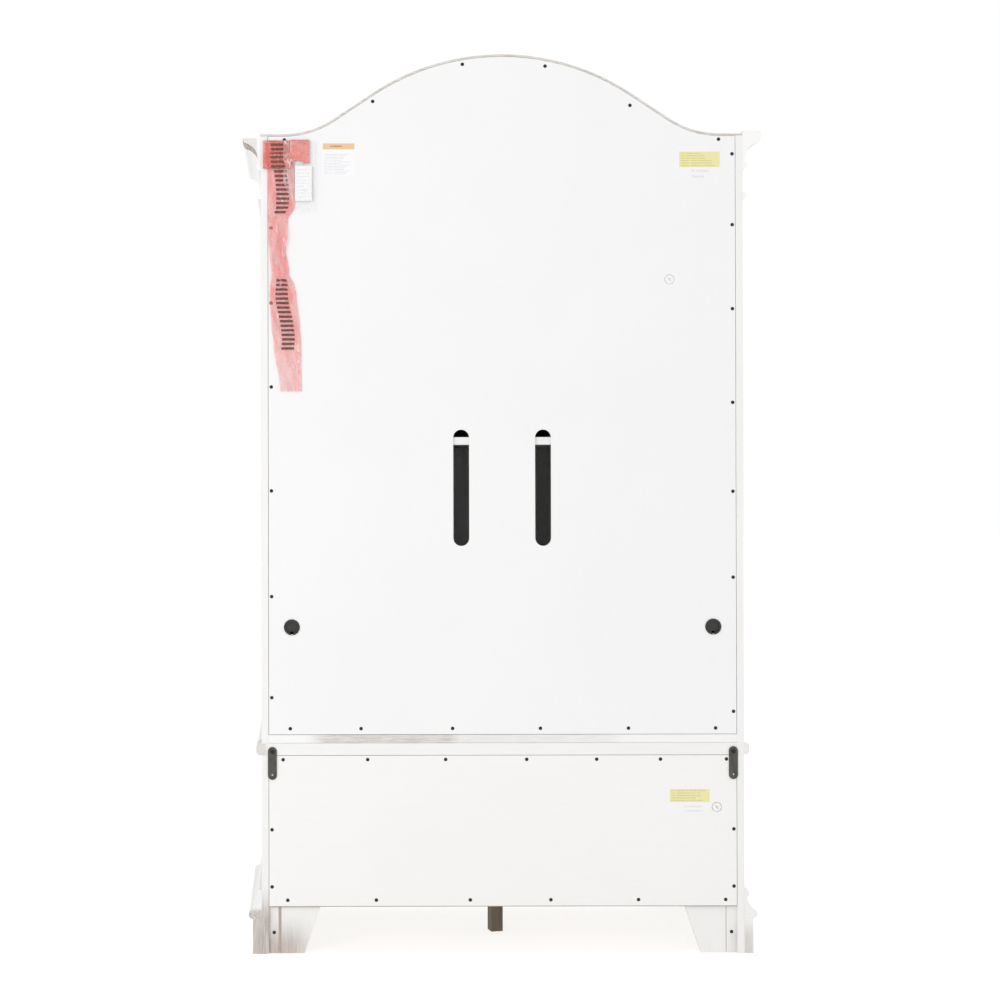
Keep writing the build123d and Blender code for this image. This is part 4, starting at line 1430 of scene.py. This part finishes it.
    def _leaflet(self, level: float) -> bpy.types.Object:
        """The folded instruction leaflet."""
        outer, inner = self.leaflet_outer, self.leaflet_inner
        high, low = self.leaflet_high, self.leaflet_low
        middle = ((outer + inner) / 2, level, (high + low) / 2)
        leaflet = block("bag_leaflet", middle, (outer - inner, self.leaflet_thick, high - low))
        bpy.ops.object.mode_set(mode="EDIT")
        bpy.ops.mesh.select_all(action="SELECT")
        bpy.ops.mesh.subdivide(number_cuts=7)
        mesh = bmesh.from_edit_mesh(leaflet.data)
        for vert in mesh.verts:
            creased = 0.0007 * math.sin((vert.co.z - low) * 95.0)
            bowed = 0.0004 * math.sin((vert.co.x - inner) * 110.0)
            vert.co.y += creased + bowed
        bmesh.update_edit_mesh(leaflet.data)
        bpy.ops.object.mode_set(mode="OBJECT")
        bars = Block((0.433, 1.706), (0.464, 1.774), (0.52, 0.52, 0.55), lines=9, strength=0.35)
        return add_to(leaflet, Paper("leaflet_paper", blocks=(bars,)))

    def _staple(self, name: str, x: float, rear: float) -> bpy.types.Object:
        """A wire staple across the bag's head, its legs driven into the panel."""
        wire, wide, proud = self.staple_wire, self.staple_width, self.staple_proud
        staple = block(name, (x, rear + proud, self.staple_level), (wide, wire, wire * 1.4))
        bpy.ops.object.mode_set(mode="EDIT")
        bpy.ops.mesh.select_mode(type="FACE")
        for way in (-1, 1):
            mesh = bmesh.from_edit_mesh(staple.data)
            choose(mesh, lambda face: face.normal.x * way > 0.9)
            extrude((way * wire, 0, 0))
            mesh = bmesh.from_edit_mesh(staple.data)
            choose(
                mesh,
                lambda face: face.normal.y < -0.9
                and (face.calc_center_median().x - x) * way > wide / 2,
            )
            extrude((0, -proud - self.staple_bite, 0))
        bpy.ops.mesh.select_all(action="SELECT")
        bpy.ops.mesh.bevel(offset=0.0001, segments=2, affect="EDGES")
        bpy.ops.object.mode_set(mode="OBJECT")
        return add_to(staple, STAPLE_STEEL)


YELLOW: Colour = (0.69, 0.655, 0.285)
GREY_INK: Colour = (0.45, 0.45, 0.48)
BROWN_INK: Colour = (0.45, 0.36, 0.16)
LABELS = (
    PaperLabel(
        "notice_label", (0.3315, 1.7560), (0.4045, 1.8315),
        Paper(
            "notice_paper",
            blocks=(
                Block((0.3325, 1.8175), (0.4040, 1.8310), (0.70, 0.42, 0.20)),
                Block((0.3420, 1.8215), (0.3870, 1.8275), (0.25, 0.12, 0.06), lines=1, strength=0.85),
                Block((0.3350, 1.7600), (0.4010, 1.8080), GREY_INK, lines=14, strength=0.5),
            ),
        ),
    ),
    PaperLabel(
        "upper_yellow_label", (-0.4950, 1.7400), (-0.3850, 1.8260),
        Paper(
            "upper_yellow_paper", paper=(0.760, 0.760, 0.772),
            blocks=(
                Block((-0.4935, 1.7755), (-0.4020, 1.8110), YELLOW),
                Block((-0.4880, 1.7770), (-0.4050, 1.8095), BROWN_INK, lines=6, strength=0.5),
                Block((-0.4800, 1.7480), (-0.4300, 1.7740), GREY_INK, lines=2, strength=0.3),
            ),
        ),
    ),
    PaperLabel(
        "lower_yellow_label", (-0.4700, 0.3130), (-0.3720, 0.3740),
        Paper(
            "lower_yellow_paper", paper=(0.765, 0.763, 0.770),
            blocks=(
                Block((-0.4670, 0.3410), (-0.3770, 0.3705), YELLOW),
                Block((-0.4620, 0.3420), (-0.3800, 0.3695), BROWN_INK, lines=5, strength=0.5),
                Block((-0.4600, 0.3160), (-0.4100, 0.3360), GREY_INK, lines=2, strength=0.3),
            ),
        ),
    ),
)
STAMPS = (
    InspectionStamp("upper_stamp", (-0.3793, 1.5220), Ink("grey_stamp_ink", strength=0.75)),
    InspectionStamp(
        "lower_stamp", (-0.4830, 0.3297), Ink("red_stamp_ink", ink=(0.42, 0.27, 0.23), strength=0.55),
        line=0.0011,
    ),
)


def main() -> None:
    """Build the studio, dress the frame, and add the small pieces on the back."""
    logging.basicConfig(level=logging.INFO, format="%(name)s: %(message)s")
    Studio().build()
    for assembly in (UpperCabinet(), Doors(), DrawerBase(), Drawers(), TieStraps()):
        assembly.dress()
    upper_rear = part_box("upper_back_panel")[1].y
    lower_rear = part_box("base_back_panel")[1].y
    for node in ("upper_back_screws", "lower_back_screws"):
        BackScrews(node).build()
    for label in LABELS:
        label.build(upper_rear if label.low[1] > 0.5 else lower_rear)
    for stamp in STAMPS:
        stamp.build(upper_rear if stamp.centre[1] > 0.5 else lower_rear)
    HardwareBag().build(upper_rear)
    select_only()


if __name__ == "__main__":
    main()
